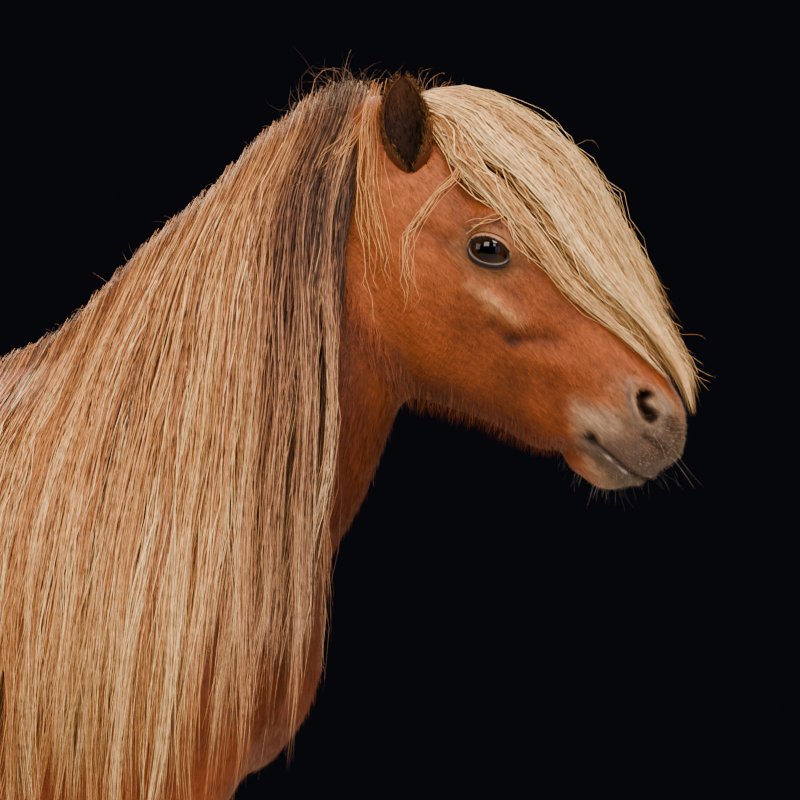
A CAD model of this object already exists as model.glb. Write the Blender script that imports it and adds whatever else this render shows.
import math
import bmesh
import bpy
import numpy as np
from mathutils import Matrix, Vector


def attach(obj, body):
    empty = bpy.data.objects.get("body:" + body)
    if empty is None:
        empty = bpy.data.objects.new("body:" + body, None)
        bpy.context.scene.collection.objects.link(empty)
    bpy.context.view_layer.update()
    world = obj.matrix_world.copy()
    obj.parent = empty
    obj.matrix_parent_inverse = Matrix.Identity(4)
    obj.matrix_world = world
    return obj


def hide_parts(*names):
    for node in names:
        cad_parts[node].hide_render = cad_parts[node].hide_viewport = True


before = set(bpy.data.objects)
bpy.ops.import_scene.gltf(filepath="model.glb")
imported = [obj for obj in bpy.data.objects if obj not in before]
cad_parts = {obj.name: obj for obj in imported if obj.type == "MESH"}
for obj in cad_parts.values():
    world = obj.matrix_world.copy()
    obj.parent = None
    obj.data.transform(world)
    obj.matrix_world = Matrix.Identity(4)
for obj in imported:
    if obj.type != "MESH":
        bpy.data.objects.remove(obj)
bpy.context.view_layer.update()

# A Shetland pony at life size. Shapes are worked out in millimetres in the pony's own frame, +X forwards and
# -Y its right side, before the head turns; newPiece turns them with the head and moves them to the frame.
originShift = np.array([32.0, 9.0, 0.0])
# The head's turn: its angle, its upright axis, the distances up the neck between which it grows, and the place
# and the way from which those are counted
headTurn = {"angle": math.radians(14), "pivot": 330, "span": (120, 380), "base": (200, 800),
            "way": (0.496, 0.868)}

# Torso: x, top, bottom, half width, height of the widest point
torsoStations = np.array([
    [-656, 800, 700, 52, 750], [-642, 846, 650, 100, 742], [-600, 884, 598, 142, 738], [-540, 915, 566, 170, 735],
    [-450, 931, 548, 186, 728], [-350, 922, 524, 196, 705], [-250, 904, 494, 206, 680], [-140, 892, 470, 212, 665],
    [-40, 903, 462, 208, 665], [30, 930, 466, 197, 675], [90, 936, 482, 184, 685], [160, 905, 506, 166, 690],
    [230, 850, 538, 150, 690], [290, 795, 578, 124, 690], [332, 750, 622, 88, 688], [354, 715, 662, 44, 688]])
# Neck: step, crest x, crest z, throat x, throat z, half width
neckStations = np.array([
    [0, 24, 922, 296, 596, 118], [1, 70, 944, 344, 660, 119], [2, 107, 962, 355, 700, 114],
    [3, 144, 990, 357, 738, 106], [4, 190, 1034, 362, 770, 97], [5, 236, 1074, 375, 797, 88],
    [6, 273, 1108, 389, 826, 80], [7, 310, 1143, 403, 862, 73], [8, 348, 1167, 419, 902, 66],
    [9, 388, 1170, 440, 935, 52], [10, 406, 1150, 452, 965, 34]])
# Head: distance from the poll along the face, forehead, jaw, half width, height of the widest point
headStations = np.array([
    [-17, -14, -36, 18, -25], [-6, -4, -50, 36, -28], [14, 6, -70, 49, -34], [40, 15, -98, 58, -40],
    [75, 25, -128, 64, -44], [110, 31, -150, 68, -48], [145, 34, -164, 69, -50], [180, 33, -174, 67, -52],
    [210, 30, -172, 62, -54], [240, 27, -156, 54, -54], [275, 23, -137, 46, -52], [310, 19, -125, 42, -50],
    [340, 17, -117, 41, -50], [366, 14, -108, 42, -46], [388, 7, -102, 42, -44], [404, -7, -92, 38, -46],
    [415, -22, -76, 28, -48], [422, -36, -60, 14, -48]])
headFrame = {"poll": (418, 1191), "slope": math.radians(48)}
# Legs: height, centre x, distance of the centre from the middle plane, half length, half width
foreStations = np.array([
    [770, 205, 86, 48, 34], [715, 216, 96, 80, 50], [650, 214, 104, 92, 56], [595, 202, 106, 83, 54],
    [545, 190, 106, 73, 48], [490, 184, 105, 56, 42], [430, 180, 104, 44, 37], [370, 178, 103, 37, 33],
    [320, 178, 102, 36, 34], [285, 179, 102, 37, 36], [252, 178, 102, 32, 30], [215, 176, 102, 28, 24],
    [170, 175, 102, 28, 24], [140, 175, 102, 31, 28], [118, 174, 102, 34, 31], [95, 181, 102, 31, 29],
    [74, 190, 102, 31, 30], [52, 198, 102, 35, 34]])
hindStations = np.array([
    [830, -520, 80, 66, 44], [770, -512, 98, 104, 68], [700, -497, 110, 126, 76], [630, -484, 117, 124, 72],
    [565, -482, 118, 101, 61], [505, -505, 116, 77, 50], [452, -535, 113, 58, 42], [405, -568, 108, 47, 36],
    [372, -590, 105, 45, 34], [335, -597, 104, 40, 34], [300, -593, 103, 34, 30], [250, -588, 103, 29, 25],
    [190, -585, 103, 28, 24], [150, -584, 103, 31, 27], [120, -583, 103, 34, 31], [95, -575, 103, 31, 29],
    [74, -565, 103, 31, 29], [52, -557, 103, 34, 33]])
legs = [("foreleg_right", -1, foreStations, 10), ("foreleg_left", 1, foreStations, -22),
        ("hindleg_right", -1, hindStations, -12), ("hindleg_left", 1, hindStations, 30)]
strideTop = 720  # height at which a leg's shift has faded out
# Powers of the ovals, 2 being an ellipse and more being squarer, and the depth at which the neck is widest
flesh = {"roundness": 2.2, "neckWidest": 0.56, "crest": 1.75, "forehead": 2.4, "jaw": 1.95}


# Smooth step: 0 up to 0, 1 from 1 on, and value^2 (3 - 2 value) between
def ease(value):
    value = np.clip(value, 0, 1)
    return value * value * (3 - 2 * value)


# A bell: exp(-(value / width)^2), 1 in its middle
def bell(value, width):
    return np.exp(-((value / width) ** 2))


# Each vector over its own length
def unit(vectors):
    return vectors / np.maximum(np.linalg.norm(vectors, axis=-1, keepdims=True), 1e-9)


# Rows of a table read at many places at once: a cubic through each pair of rows, with the slopes of their
# neighbours at its two ends
def readRows(rows, places):
    if rows[0, 0] > rows[-1, 0]:
        rows = rows[::-1]
    places = np.asarray(places, float)
    i = np.clip(np.searchsorted(rows[:, 0], places), 1, len(rows) - 1)
    a, b = rows[i - 1], rows[i]
    before, after = rows[np.maximum(i - 2, 0)], rows[np.minimum(i + 1, len(rows) - 1)]
    span = b[..., :1] - a[..., :1]
    t = np.clip((places[..., None] - a[..., :1]) / span, 0, 1)
    leave = (b - before) / (b[..., :1] - before[..., :1]) * span
    arrive = (after - a) / (after[..., :1] - a[..., :1]) * span
    ends = (2 * t**3 - 3 * t**2 + 1) * a + (3 * t**2 - 2 * t**3) * b
    return np.moveaxis(ends + (t**3 - 2 * t**2 + t) * leave + (t**3 - t**2) * arrive, -1, 0)


# The turn of the head: about an upright axis, by an angle that eases in with the distance up the neck
def turned(points):
    along = (points[..., 0] - headTurn["base"][0]) * headTurn["way"][0]
    up = along + (points[..., 2] - headTurn["base"][1]) * headTurn["way"][1]
    begins, ends = headTurn["span"]
    angle = -headTurn["angle"] * ease((up - begins) / (ends - begins))
    dx, y, c, s = points[..., 0] - headTurn["pivot"], points[..., 1], np.cos(angle), np.sin(angle)
    return np.stack([headTurn["pivot"] + dx * c - y * s, dx * s + y * c, points[..., 2]], -1)


# The head's own frame: the place at a distance along the face from the poll, one above the face and one to its
# side. It is the poll plus along times the way down the face plus above times the way square to it
def fromHead(along, above, side):
    c, s = math.cos(headFrame["slope"]), math.sin(headFrame["slope"])
    x, z = headFrame["poll"]
    return np.stack(np.broadcast_arrays(x + along * c + above * s, side, z - along * s + above * c), -1)


faceUp, faceDown = fromHead(0, 1, 0) - fromHead(0, 0, 0), fromHead(1, 0, 0) - fromHead(0, 0, 0)


# The other way round: how far along and how far above the face a place is
def toHead(points):
    c, s = math.cos(headFrame["slope"]), math.sin(headFrame["slope"])
    dx, dz = points[..., 0] - headFrame["poll"][0], points[..., 2] - headFrame["poll"][1]
    return dx * c - dz * s, dx * s + dz * c


# How far forwards a leg's stride carries a place: stride * (1 - height / strideTop)
def legShift(stride, height):
    return stride * np.clip(1 - height / strideTop, 0, 1)


# Sum of soft ridges on a plane: each runs from one place to another and falls off as a bell across its width
def ridges(u, v, forms):
    total = np.zeros(np.shape(u))
    for u0, v0, u1, v1, width, out in forms:
        du, dv = u1 - u0, v1 - v0
        share = np.clip(((u - u0) * du + (v - v0) * dv) / max(du * du + dv * dv, 1e-6), 0, 1)
        total += out * np.exp(-((u - u0 - share * du) ** 2 + (v - v0 - share * dv) ** 2) / width**2)
    return total


# Shades: sRGB hex values to linear
def tone(hexColour):
    value = np.array([int(hexColour[i:i + 2], 16) for i in (1, 3, 5)]) / 255
    return np.where(value <= 0.04045, value / 12.92, ((value + 0.055) / 1.055) ** 2.4)


# One colour moved towards the other by a share
def mixed(one, other, share):
    return one + (other - one) * np.asarray(share)[..., None]


# Shades of a row of colours at levels from 0 to 1, each between its two nearest colours
def shadeAt(colours, level):
    place = np.clip(level, 0, 1) * (len(colours) - 1)
    below = np.floor(place).astype(int).clip(0, len(colours) - 2)
    return mixed(colours[below], colours[below + 1], place - below)


# One mesh from corners in millimetres and lists of faces, each an array with three or four corners a row
def newPiece(name, points, faces, material, nodes=(), tint=None, bakeMap=None, normals=None, extra=None,
             turn=True):
    mesh = bpy.data.meshes.new(name)
    places = ((turned(points) if turn else points) + originShift) / 1000
    corners = np.concatenate([part.ravel() for part in faces]).astype(np.int32)
    sizes = np.concatenate([np.full(len(part), part.shape[1]) for part in faces])
    starts = np.concatenate([[0], np.cumsum(sizes)[:-1]]).astype(np.int32)
    mesh.vertices.add(len(places))
    mesh.vertices.foreach_set("co", places.astype(np.float32).ravel())
    mesh.loops.add(len(corners))
    mesh.loops.foreach_set("vertex_index", corners)
    mesh.polygons.add(len(sizes))
    mesh.polygons.foreach_set("loop_start", starts)
    mesh.update(calc_edges=True)
    mesh.polygons.foreach_set("use_smooth", np.ones(len(sizes), bool))
    if tint is not None:
        colours = np.concatenate([tint, np.ones((len(tint), 1))], 1).astype(np.float32)
        mesh.attributes.new("tint", "FLOAT_COLOR", "POINT").data.foreach_set("color", colours.ravel())
    for key, values in (extra or {}).items():
        layer = mesh.attributes.new(key, "FLOAT_VECTOR", "POINT")
        layer.data.foreach_set("vector", values.astype(np.float32).ravel())
    if bakeMap is not None:
        uv = mesh.uv_layers.new(name="OFBake")
        uv.data.foreach_set("uv", bakeMap[corners].astype(np.float32).ravel())
    mesh.validate()
    if normals is not None:
        ahead = turned(points + normals) - turned(points) if turn else normals
        mesh.normals_split_custom_set_from_vertices(unit(ahead).astype(np.float32))
    piece = bpy.data.objects.new(name, mesh)
    bpy.context.scene.collection.objects.link(piece)
    mesh.materials.append(material)
    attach(piece, "root")
    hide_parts(*nodes)
    return piece


# Quads over a grid of corners that is rows long and columns round, joined to itself round the columns
def ringFaces(rows, columns):
    across = np.arange(columns)
    near = np.arange(rows - 1)[:, None] * columns + across
    far = np.arange(rows - 1)[:, None] * columns + (across + 1) % columns
    return np.stack([near, far, far + columns, near + columns], -1).reshape(-1, 4)


# Triangles from each side of a ring to the corner in its middle
def capFaces(first, columns, middle, flip):
    here = first + np.arange(columns)
    after = first + (np.arange(columns) + 1) % columns
    fan = np.stack([here, after, np.full(columns, middle)], -1)
    return fan[:, ::-1] if flip else fan


# One node with its properties and the values of its sockets, and the links that lead into it
def addNode(tree, kind, settings=None, links=None):
    node = tree.nodes.new(kind)
    for key, value in (settings or {}).items():
        if isinstance(key, str) and hasattr(node, key):
            setattr(node, key, value)
        else:
            node.inputs[key].default_value = value
    for key, source in (links or {}).items():
        tree.links.new(source, node.inputs[key])
    return node


# A material with one shader; its sockets' names have underscores for blanks
def newMaterial(name, **shader):
    material = bpy.data.materials.new(name)
    material.use_nodes = True
    surface = material.node_tree.nodes["Principled BSDF"]
    for key, value in shader.items():
        surface.inputs[key.replace("_", " ")].default_value = value
    return material, material.node_tree, surface


# Noise read as a brightness: from low at 0.3 to high at 0.7
def brightness(tree, noise, low, high):
    return addNode(tree, "ShaderNodeMapRange", {"From Min": 0.3, "From Max": 0.7, "To Min": low, "To Max": high},
                   {"Value": noise}).outputs["Result"]


# The surface's colour: a colour times a brightness
def paint(tree, surface, colour, amount):
    product = addNode(tree, "ShaderNodeVectorMath", {"operation": "SCALE"}, {0: colour, "Scale": amount})
    tree.links.new(product.outputs["Vector"], surface.inputs["Base Color"])


# Relief: the bump of a height, with its strength and its distance in metres
def roughen(tree, surface, height, strength, distance):
    bump = addNode(tree, "ShaderNodeBump", {"Strength": strength, "Distance": distance}, {"Height": height})
    tree.links.new(bump.outputs["Normal"], surface.inputs["Normal"])


# Noise over a vector, which may be stretched first
def grain(tree, vector, settings, stretch=None):
    if stretch:
        vector = addNode(tree, "ShaderNodeMapping", {"Scale": stretch}, {"Vector": vector}).outputs["Vector"]
    return addNode(tree, "ShaderNodeTexNoise", settings, {"Vector": vector}).outputs["Fac"]


# The tint that the corners carry
def tintOf(tree):
    return addNode(tree, "ShaderNodeAttribute", {"attribute_name": "tint"}).outputs["Color"]


# Metres in the piece's own frame
def metresOf(tree):
    return addNode(tree, "ShaderNodeTexCoord").outputs["Object"]


# Hair: every hair is a three-cornered blade along its path, with a ridge on its outside, closed at both ends.
# Corners are path + across * width / 2, path + outward * width * ridge and path - across * width / 2
def hairMesh(paths, widths, outwards, rootMap, tints, ridge=0.34, patch=0.0015, rounding=0.55):
    count, steps = paths.shape[:2]
    way = unit(np.gradient(paths, axis=1))
    across = unit(np.cross(way, outwards))
    out = np.cross(across, way)
    wide = widths[..., None]
    rings = [paths + across * wide / 2, paths + out * wide * ridge, paths - across * wide / 2]
    rings = np.stack(rings, 2)[:, :-1]
    size = 3 * (steps - 1) + 1
    points = np.concatenate([rings.reshape(count, -1, 3), paths[:, -1:]], 1)
    base = np.arange(steps - 2)[:, None] * 3 + np.arange(3)
    after = np.arange(steps - 2)[:, None] * 3 + (np.arange(3) + 1) % 3
    quads = np.stack([after, base, base + 3, after + 3], -1).reshape(-1, 4)
    last = 3 * (steps - 2)
    tris = np.array([[last + 1, last, size - 1], [last + 2, last + 1, size - 1], [last, last + 2, size - 1],
                     [0, 1, 2]])
    offsets = (np.arange(count) * size)[:, None, None]
    faces = [(quads + offsets).reshape(-1, 4), (tris + offsets).reshape(-1, 3)]
    lengthwise = np.append(np.repeat(np.linspace(-1, 1, steps)[:-1], 3), 1)
    sideways = np.append(np.tile([-1, 0, 1], steps - 1), 0)
    bakeMap = rootMap[:, None] + patch * np.stack([lengthwise, sideways], -1)
    colours = np.concatenate([np.repeat(tints[:, :-1], 3, axis=1), tints[:, -1:]], 1)
    normals = np.stack([out + across * rounding, out, out - across * rounding], 2)[:, :-1].reshape(count, -1, 3)
    normals = np.concatenate([normals, out[:, -1:]], 1)
    return points.reshape(-1, 3), faces, bakeMap.reshape(-1, 2), colours.reshape(-1, 3), normals.reshape(-1, 3)


# Waves of a few lengths along a hair, each with its own phase and stretch: the mean of
# size * (sin(2 pi distance / length * stretch + phase) - sin(phase))
def crinkle(draw, distance, lengths, size):
    count = len(distance)
    total = 0
    for length in lengths:
        phase = draw.uniform(0, 2 * np.pi, (count, 1))
        stretch = draw.uniform(0.7, 1.4, (count, 1))
        total = total + np.sin(distance / length * 2 * np.pi * stretch + phase) - np.sin(phase)
    return total * size / len(lengths)


print("settings read")

# Skin: the zero level of a blended distance to the oval lofts, sampled on cubes and then settled onto it


# Distance to an oval section along the ray from its middle; the oval may differ above and below its widest line
def ovalDistance(side, height, half, above, below, topPower, lowPower):
    up = height > 0
    power = np.where(up, topPower, lowPower)
    reach = np.where(up, above, below)
    ratio = ((np.abs(side) / half) ** power + (np.abs(height) / reach) ** power + 1e-9) ** (1 / power)
    scale = np.where(ratio > 0.15, np.hypot(side, height) / ratio, np.minimum(half, reach))
    return (ratio - 1) * scale


# Half width of the same oval at a height: half * (1 - share^power)^(1 / power)
def ovalSide(height, half, above, below, topPower, lowPower):
    share = np.where(height > 0, height / above, -height / below)
    power = np.where(height > 0, topPower, lowPower)
    return half * np.clip(1 - np.clip(share, 0, 1) ** power, 0, 1) ** (1 / power)


# The nearer of two distances, rounded off where they are within k of each other
def blend(a, b, k):
    h = np.clip(0.5 + 0.5 * (b - a) / k, 0, 1)
    return b + (a - b) * h - k * h * (1 - h)


# How far the two ends of a form, and the places where forms meet, are rounded off
endRounding = {"torso": 16, "neck": 6, "head": 8, "leg": 10}
joins = {"neck": 46, "legs": 44, "dock": 30, "lids": 9, "head": 22}


# Distance to the torso: to its oval at x, cut off at its two ends
def torsoDistance(p):
    x = p[..., 0]
    _, top, bottom, half, wide = readRows(torsoStations, x)
    r = flesh["roundness"]
    body = ovalDistance(p[..., 1], p[..., 2] - wide, half, top - wide, wide - bottom, r, r)
    ends = np.maximum(torsoStations[0, 0] - x, x - torsoStations[-1, 0])
    return -blend(-body, -ends, endRounding["torso"])


# Step up the neck at places seen from the side, halved down between the lines from crest to throat
def neckStep(x, z):
    low, high = np.zeros(np.shape(x)), np.full(np.shape(x), 10.0)
    for _ in range(16):
        middle = (low + high) / 2
        _, topX, topZ, lowX, lowZ, _ = readRows(neckStations, middle)
        beyond = (lowX - topX) * (z - topZ) - (lowZ - topZ) * (x - topX) > 0
        low, high = np.where(beyond, middle, low), np.where(beyond, high, middle)
    return (low + high) / 2


latticeStep = 4
latticeX, latticeZ = np.arange(-60, 560, latticeStep), np.arange(540, 1260, latticeStep)
neckLattice = neckStep(*np.meshgrid(latticeX, latticeZ, indexing="ij"))


# A table on a square lattice read between its four nearest places
def readLattice(values, x, z, left, bottom, step):
    u = np.clip((x - left) / step, 0, values.shape[0] - 1.001)
    v = np.clip((z - bottom) / step, 0, values.shape[1] - 1.001)
    i, j = u.astype(int), v.astype(int)
    u, v = u - i, v - j
    near = values[i, j] * (1 - v) + values[i, j + 1] * v
    far = values[i + 1, j] * (1 - v) + values[i + 1, j + 1] * v
    return near * (1 - u) + far * u


# Section of the neck at a place: step, depth from crest to throat, height over the widest point and half width
def neckSection(x, z):
    step = readLattice(neckLattice, x, z, latticeX[0], latticeZ[0], latticeStep)
    _, topX, topZ, lowX, lowZ, half = readRows(neckStations, step)
    depth = np.hypot(topX - lowX, topZ - lowZ)
    down = ((x - topX) * (lowX - topX) + (z - topZ) * (lowZ - topZ)) / depth
    return step, depth, depth * flesh["neckWidest"] - down, half


# Distance to the neck: to its oval at the place's step, cut off by its first and its last line
def neckDistance(p):
    _, depth, height, half = neckSection(p[..., 0], p[..., 2])
    wide = flesh["neckWidest"]
    body = ovalDistance(p[..., 1], height, half, depth * wide, depth * (1 - wide), flesh["crest"],
                        flesh["roundness"])
    beyond = []
    for way, (_, topX, topZ, lowX, lowZ, _) in ((-1, neckStations[0]), (1, neckStations[-1])):
        off = (p[..., 2] - topZ) * (lowX - topX) - (p[..., 0] - topX) * (lowZ - topZ)
        beyond.append(way * off / math.hypot(lowX - topX, lowZ - topZ))
    return -blend(-body, -np.maximum(*beyond), endRounding["neck"])


# Swells and hollows of the head's side, each a ridge between two places along and above the face: along,
# above, along, above, width, how far out
headForms = np.array([
    [150, 4, 180, 1, 17, 9], [188, -50, 236, -44, 13, 6.5], [252, -72, 284, -48, 13, 3.5],
    [284, -48, 316, -33, 12, 3], [104, 10, 122, 8, 17, -5], [96, -98, 140, -112, 46, 7],
    [300, -62, 326, -62, 14, -2], [372, -14, 372, -14, 20, 7],
    [398, -56, 398, -56, 18, 4], [349, -78, 349, -78, 10, -3]])


# Distance to the head: to its oval along the face, with the side moved in by its swells
def headDistance(p):
    along, above = toHead(p)
    _, top, jaw, half, wide = readRows(headStations, along)
    side = np.abs(p[..., 1])
    side = side - ridges(along, above, headForms) * np.clip(1.3 * side / half, 0, 1)
    body = ovalDistance(side, above - wide, half, top - wide, wide - jaw, flesh["forehead"], flesh["jaw"])
    ends = np.maximum(headStations[0, 0] - along, along - headStations[-1, 0])
    return -blend(-body, -ends, endRounding["head"])


# Eyeball: its middle in the head's frame, its radius and how far the lids' ball lies over it
eye = {"along": 174, "above": -20, "side": 56, "radius": 22, "lid": 2.4}


# Middle of the right eye, hand -1, or of the left one, hand 1
def eyeMiddle(hand):
    return fromHead(eye["along"], eye["above"], hand * eye["side"])


# Distance to the lids: to the two balls just over those of the eyes
def lidDistance(p):
    mirrored = np.stack([p[..., 0], np.abs(p[..., 1]), p[..., 2]], -1)
    return np.linalg.norm(mirrored - eyeMiddle(1), axis=-1) - eye["radius"] - eye["lid"]


# Distance to a leg: to its oval at a height, moved by the stride, cut off above and just over the ground
def legDistance(p, hand, stations, stride):
    height = np.clip(p[..., 2], stations[-1, 0], stations[0, 0])
    _, x, side, long, wide = readRows(stations, height)
    ahead = p[..., 0] - x - legShift(stride, p[..., 2])
    out = p[..., 1] - hand * side
    body = ovalDistance(out, ahead, wide, long, long, flesh["roundness"], flesh["roundness"])
    ends = np.maximum(30 - p[..., 2], p[..., 2] - stations[0, 0])
    return -blend(-body, -ends, endRounding["leg"])


# Dock, the fleshy root of the tail: x, z, radius
dock = np.array([[-625, 858, 27], [-664, 846, 25], [-694, 800, 22], [-706, 720, 18], [-710, 640, 13],
                 [-712, 570, 9]])


# Distance to the dock: to the nearest of its rods, whose radius changes evenly from one end to the other
def dockDistance(p):
    nearest = np.full(p.shape[:-1], 1e4)
    for (x0, z0, r0), (x1, z1, r1) in zip(dock[:-1], dock[1:]):
        dx, dz, fromX, fromZ = x1 - x0, z1 - z0, p[..., 0] - x0, p[..., 2] - z0
        share = np.clip((fromX * dx + fromZ * dz) / (dx * dx + dz * dz), 0, 1)
        gap = np.sqrt((fromX - share * dx) ** 2 + p[..., 1] ** 2 + (fromZ - share * dz) ** 2)
        nearest = np.minimum(nearest, gap - r0 - share * (r1 - r0))
    return nearest


coatDepth = {"body": 4.0, "face": 1.2}  # how far the skin lies under the coat's own surface


# Distance to the skin: all the forms blended where they meet, less the depth of the coat
def fleshDistance(p):
    trunk = blend(torsoDistance(p), neckDistance(p), joins["neck"])
    limbs = [legDistance(p, hand, stations, stride) for _, hand, stations, stride in legs]
    trunk = blend(trunk, np.minimum.reduce(limbs), joins["legs"])
    trunk = blend(trunk, dockDistance(p), joins["dock"]) + coatDepth["body"]
    head = blend(headDistance(p), lidDistance(p), joins["lids"]) + coatDepth["face"]
    return blend(trunk, head, joins["head"])


# Corners of the surface where a field on cubes changes sign: one in the middle of each such cube, and one
# quad across each edge between a corner inside and a corner outside
def levelMesh(field, low, high, step):
    axes = [np.arange(l, h + step, step) for l, h in zip(low, high)]
    inside = field(np.stack(np.meshgrid(*axes, indexing="ij"), -1)) < 0
    pieces = [inside[i:i + inside.shape[0] - 1, j:j + inside.shape[1] - 1, k:k + inside.shape[2] - 1]
              for i in (0, 1) for j in (0, 1) for k in (0, 1)]
    total = np.sum(pieces, axis=0)
    crossed = (total > 0) & (total < 8)
    index = np.full(crossed.shape, -1)
    index[crossed] = np.arange(crossed.sum())
    points = np.array(low) + (np.argwhere(crossed) + 0.5) * step
    faces = []
    for axis in range(3):
        b, c = (axis + 1) % 3, (axis + 2) % 3
        first = np.moveaxis(inside, axis, 0)[:-1]
        second = np.moveaxis(inside, axis, 0)[1:]
        found = np.argwhere(np.moveaxis(first != second, 0, axis))
        outward = np.moveaxis(first, 0, axis)[tuple(found.T)]
        shifts = []
        for db, dc in ((-1, -1), (0, -1), (0, 0), (-1, 0)):
            cell = found.copy()
            cell[:, b] += db
            cell[:, c] += dc
            shifts.append(index[tuple(cell.T)])
        quad = np.stack(shifts, -1)
        faces.append(np.where(outward[:, None], quad, quad[:, ::-1]))
    return points, np.concatenate(faces)


# The field and its slope, from its change over a small step along each axis
def fieldSlope(p, step=0.6):
    here = fleshDistance(p)
    return here, np.stack([fleshDistance(p + step * axis) - here for axis in np.eye(3)], -1) / step


# Corners moved down the field's slope until the field is zero there
def settled(points, rounds):
    for _ in range(rounds):
        here, slope = fieldSlope(points)
        points = points - slope * (np.clip(here, -12, 12) / np.maximum((slope**2).sum(-1), 0.2))[:, None]
    return points


# Corners moved towards the middle of their neighbours
def relaxed(points, edges, share):
    ends = np.concatenate([edges, edges[:, ::-1]])
    counts = np.bincount(ends[:, 0], minlength=len(points))
    means = [np.bincount(ends[:, 0], points[ends[:, 1], i], len(points)) / np.maximum(counts, 1)
             for i in range(3)]
    return points + (np.stack(means, -1) - points) * share


# Pairs of corners of a mesh's edges
def meshEdges(mesh):
    edges = np.empty(len(mesh.edges) * 2, np.int32)
    mesh.edges.foreach_get("vertices", edges)
    return edges.reshape(-1, 2)


# Places of a mesh's corners
def meshPoints(mesh):
    points = np.empty(len(mesh.vertices) * 3, np.float32)
    mesh.vertices.foreach_get("co", points)
    return points.reshape(-1, 3).astype(float)


# Triples of corners of a mesh's triangles
def triangles(mesh):
    mesh.calc_loop_triangles()
    corners = np.empty(len(mesh.loop_triangles) * 3, np.int32)
    mesh.loop_triangles.foreach_get("vertices", corners)
    return corners.reshape(-1, 3)


# Cubes that the field is sampled on, and for each round the share relaxed and how often it is settled after that
skin = {"cubes": 12.0, "low": (-732, -240, 26), "high": (700, 240, 1222), "rounds": ((0.6, 3), (0.5, 2)),
        "finer": 3, "fineRounds": ((0.45, 1), (0.45, 1))}


# Where the skin is cut finer, round by round: the head and lower legs, the head, the eyes and the muzzle
def finerSkin(points, level):
    along, above = toHead(points)
    head = (along > -12) & (above > -190) & (np.abs(points[:, 1]) < 110)
    limb = (points[:, 2] < 430) | (points[:, 0] < -655)
    if level == 0:
        return head & (along > -25) | limb
    if level == 1:
        return head & (above + 0.42 * along > -112)
    nearEye = np.hypot(along - eye["along"], above - eye["above"]) < 40
    return head & ((along > 326) | nearEye & (np.abs(points[:, 1]) > 40))


points, faces = levelMesh(fleshDistance, skin["low"], skin["high"], skin["cubes"])
print("skin sampled:", len(points))
work = bpy.data.meshes.new("work")
work.from_pydata(points.tolist(), [], faces.tolist())
for share, times in skin["rounds"]:
    points = settled(relaxed(points, meshEdges(work), share), times)
work.vertices.foreach_set("co", points.astype(np.float32).ravel())
for level in range(skin["finer"]):
    knit = bmesh.new()
    knit.from_mesh(work)
    knit.edges.ensure_lookup_table()
    chosen = finerSkin(points, level)[meshEdges(work)].all(1)
    cuts = [knit.edges[i] for i in np.flatnonzero(chosen)]
    bmesh.ops.subdivide_edges(knit, edges=cuts, cuts=1, use_grid_fill=True)
    bmesh.ops.triangulate(knit, faces=[face for face in knit.faces if len(face.verts) > 4])
    knit.to_mesh(work)
    knit.free()
    points = meshPoints(work)
    for share, times in skin["fineRounds"]:
        points = settled(relaxed(points, meshEdges(work), share), times)
    work.vertices.foreach_set("co", points.astype(np.float32).ravel())
work.update()
print("skin settled:", len(points), "corners,", len(triangles(work)), "triangles")

# Folds of the face, pressed into the skin along its own slope: the same rows as the head's forms
faceFolds = [
    [152, 2, 172, 9, 7, 2.0], [172, 9, 196, 4, 7, 2.0], [196, -28, 212, -40, 6, -1.6],
    [190, -53, 238, -44, 6, 1.2],
    [224, -63, 243, -60, 6.5, -2.6], [243, -60, 266, -34, 6, -2.6], [118, -53, 146, -39, 7, -1.8],
    [118, 6, 132, 4, 12, -4], [110, -150, 200, -166, 9, 2], [60, -60, 92, -124, 14, 2.0],
    [350, -34, 364, -46, 7, -2.0], [334, -66, 350, -66, 7, 1.4], [372, -100, 386, -98, 12, 4.0],
    [385, -33, 404, -30, 4, -3.0], [391, -7, 396, -11, 4, -2.0], [398, -84, 402, -80, 6, -2.0],
    [338, -86, 348, -92, 6, 1.6], [330, -76, 342, -84, 5, -1.8]]
# The slit of the mouth, how deep its groove is, and for each lip how far over the slit it is fullest, how wide
# that is and how far out
mouth = {"back": 347, "above": -76.5, "slope": 0.205, "groove": 3.4, "slit": 1.9, "upper": (7, 5, 1.7),
         "lower": (-7, 4.5, 2.2)}
nostril = {"along": 368.5, "above": -12.5, "long": 17, "high": 10.5, "tilt": math.radians(27), "depth": 20,
           "rim": 3.8}


# Height over the slit of the mouth, which is a line with a low wave along it
def mouthGap(along, above):
    ahead = along - mouth["back"]
    return above - mouth["above"] - mouth["slope"] * ahead - 1.2 * np.sin(ahead / 12)


# Place in the nostril's bent oval: 1 on its edge, and the shares of its length and of its height
def nostrilRatio(along, above):
    da, dh = along - nostril["along"], above - nostril["above"]
    c, s = math.cos(nostril["tilt"]), math.sin(nostril["tilt"])
    long, high = (da * c - dh * s) / nostril["long"], (da * s + dh * c) / nostril["high"]
    return np.hypot(long, high + 0.28 * long * long - 0.14), long, high


# The fold inside the nostril, which fills its upper front part: 1 on the fold
def nostrilFlap(along, above):
    return ease((along - 359) / 9) * ease((above + 16 - 0.1 * (along - 368)) / 8)


# Forms of the body's side seen square on: x, z, x, z, width, how far out
bodyForms = [
    [110, 800, 236, 640, 34, 5], [60, 760, 150, 620, 22, -4], [190, 585, 150, 560, 36, 6],
    [290, 640, 250, 600, 20, -5],
    [-330, 640, -300, 560, 40, -6], [-440, 640, -420, 560, 46, 6], [-520, 840, -440, 900, 30, -4],
    [-596, 800, -560, 760, 30, 6], [-560, 520, -520, 460, 22, 4], [-250, 560, -60, 530, 60, 5],
    [-470, 700, -540, 560, 16, -3], [300, 700, 350, 640, 18, 5], [-628, 385, -612, 372, 14, 4]]
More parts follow.
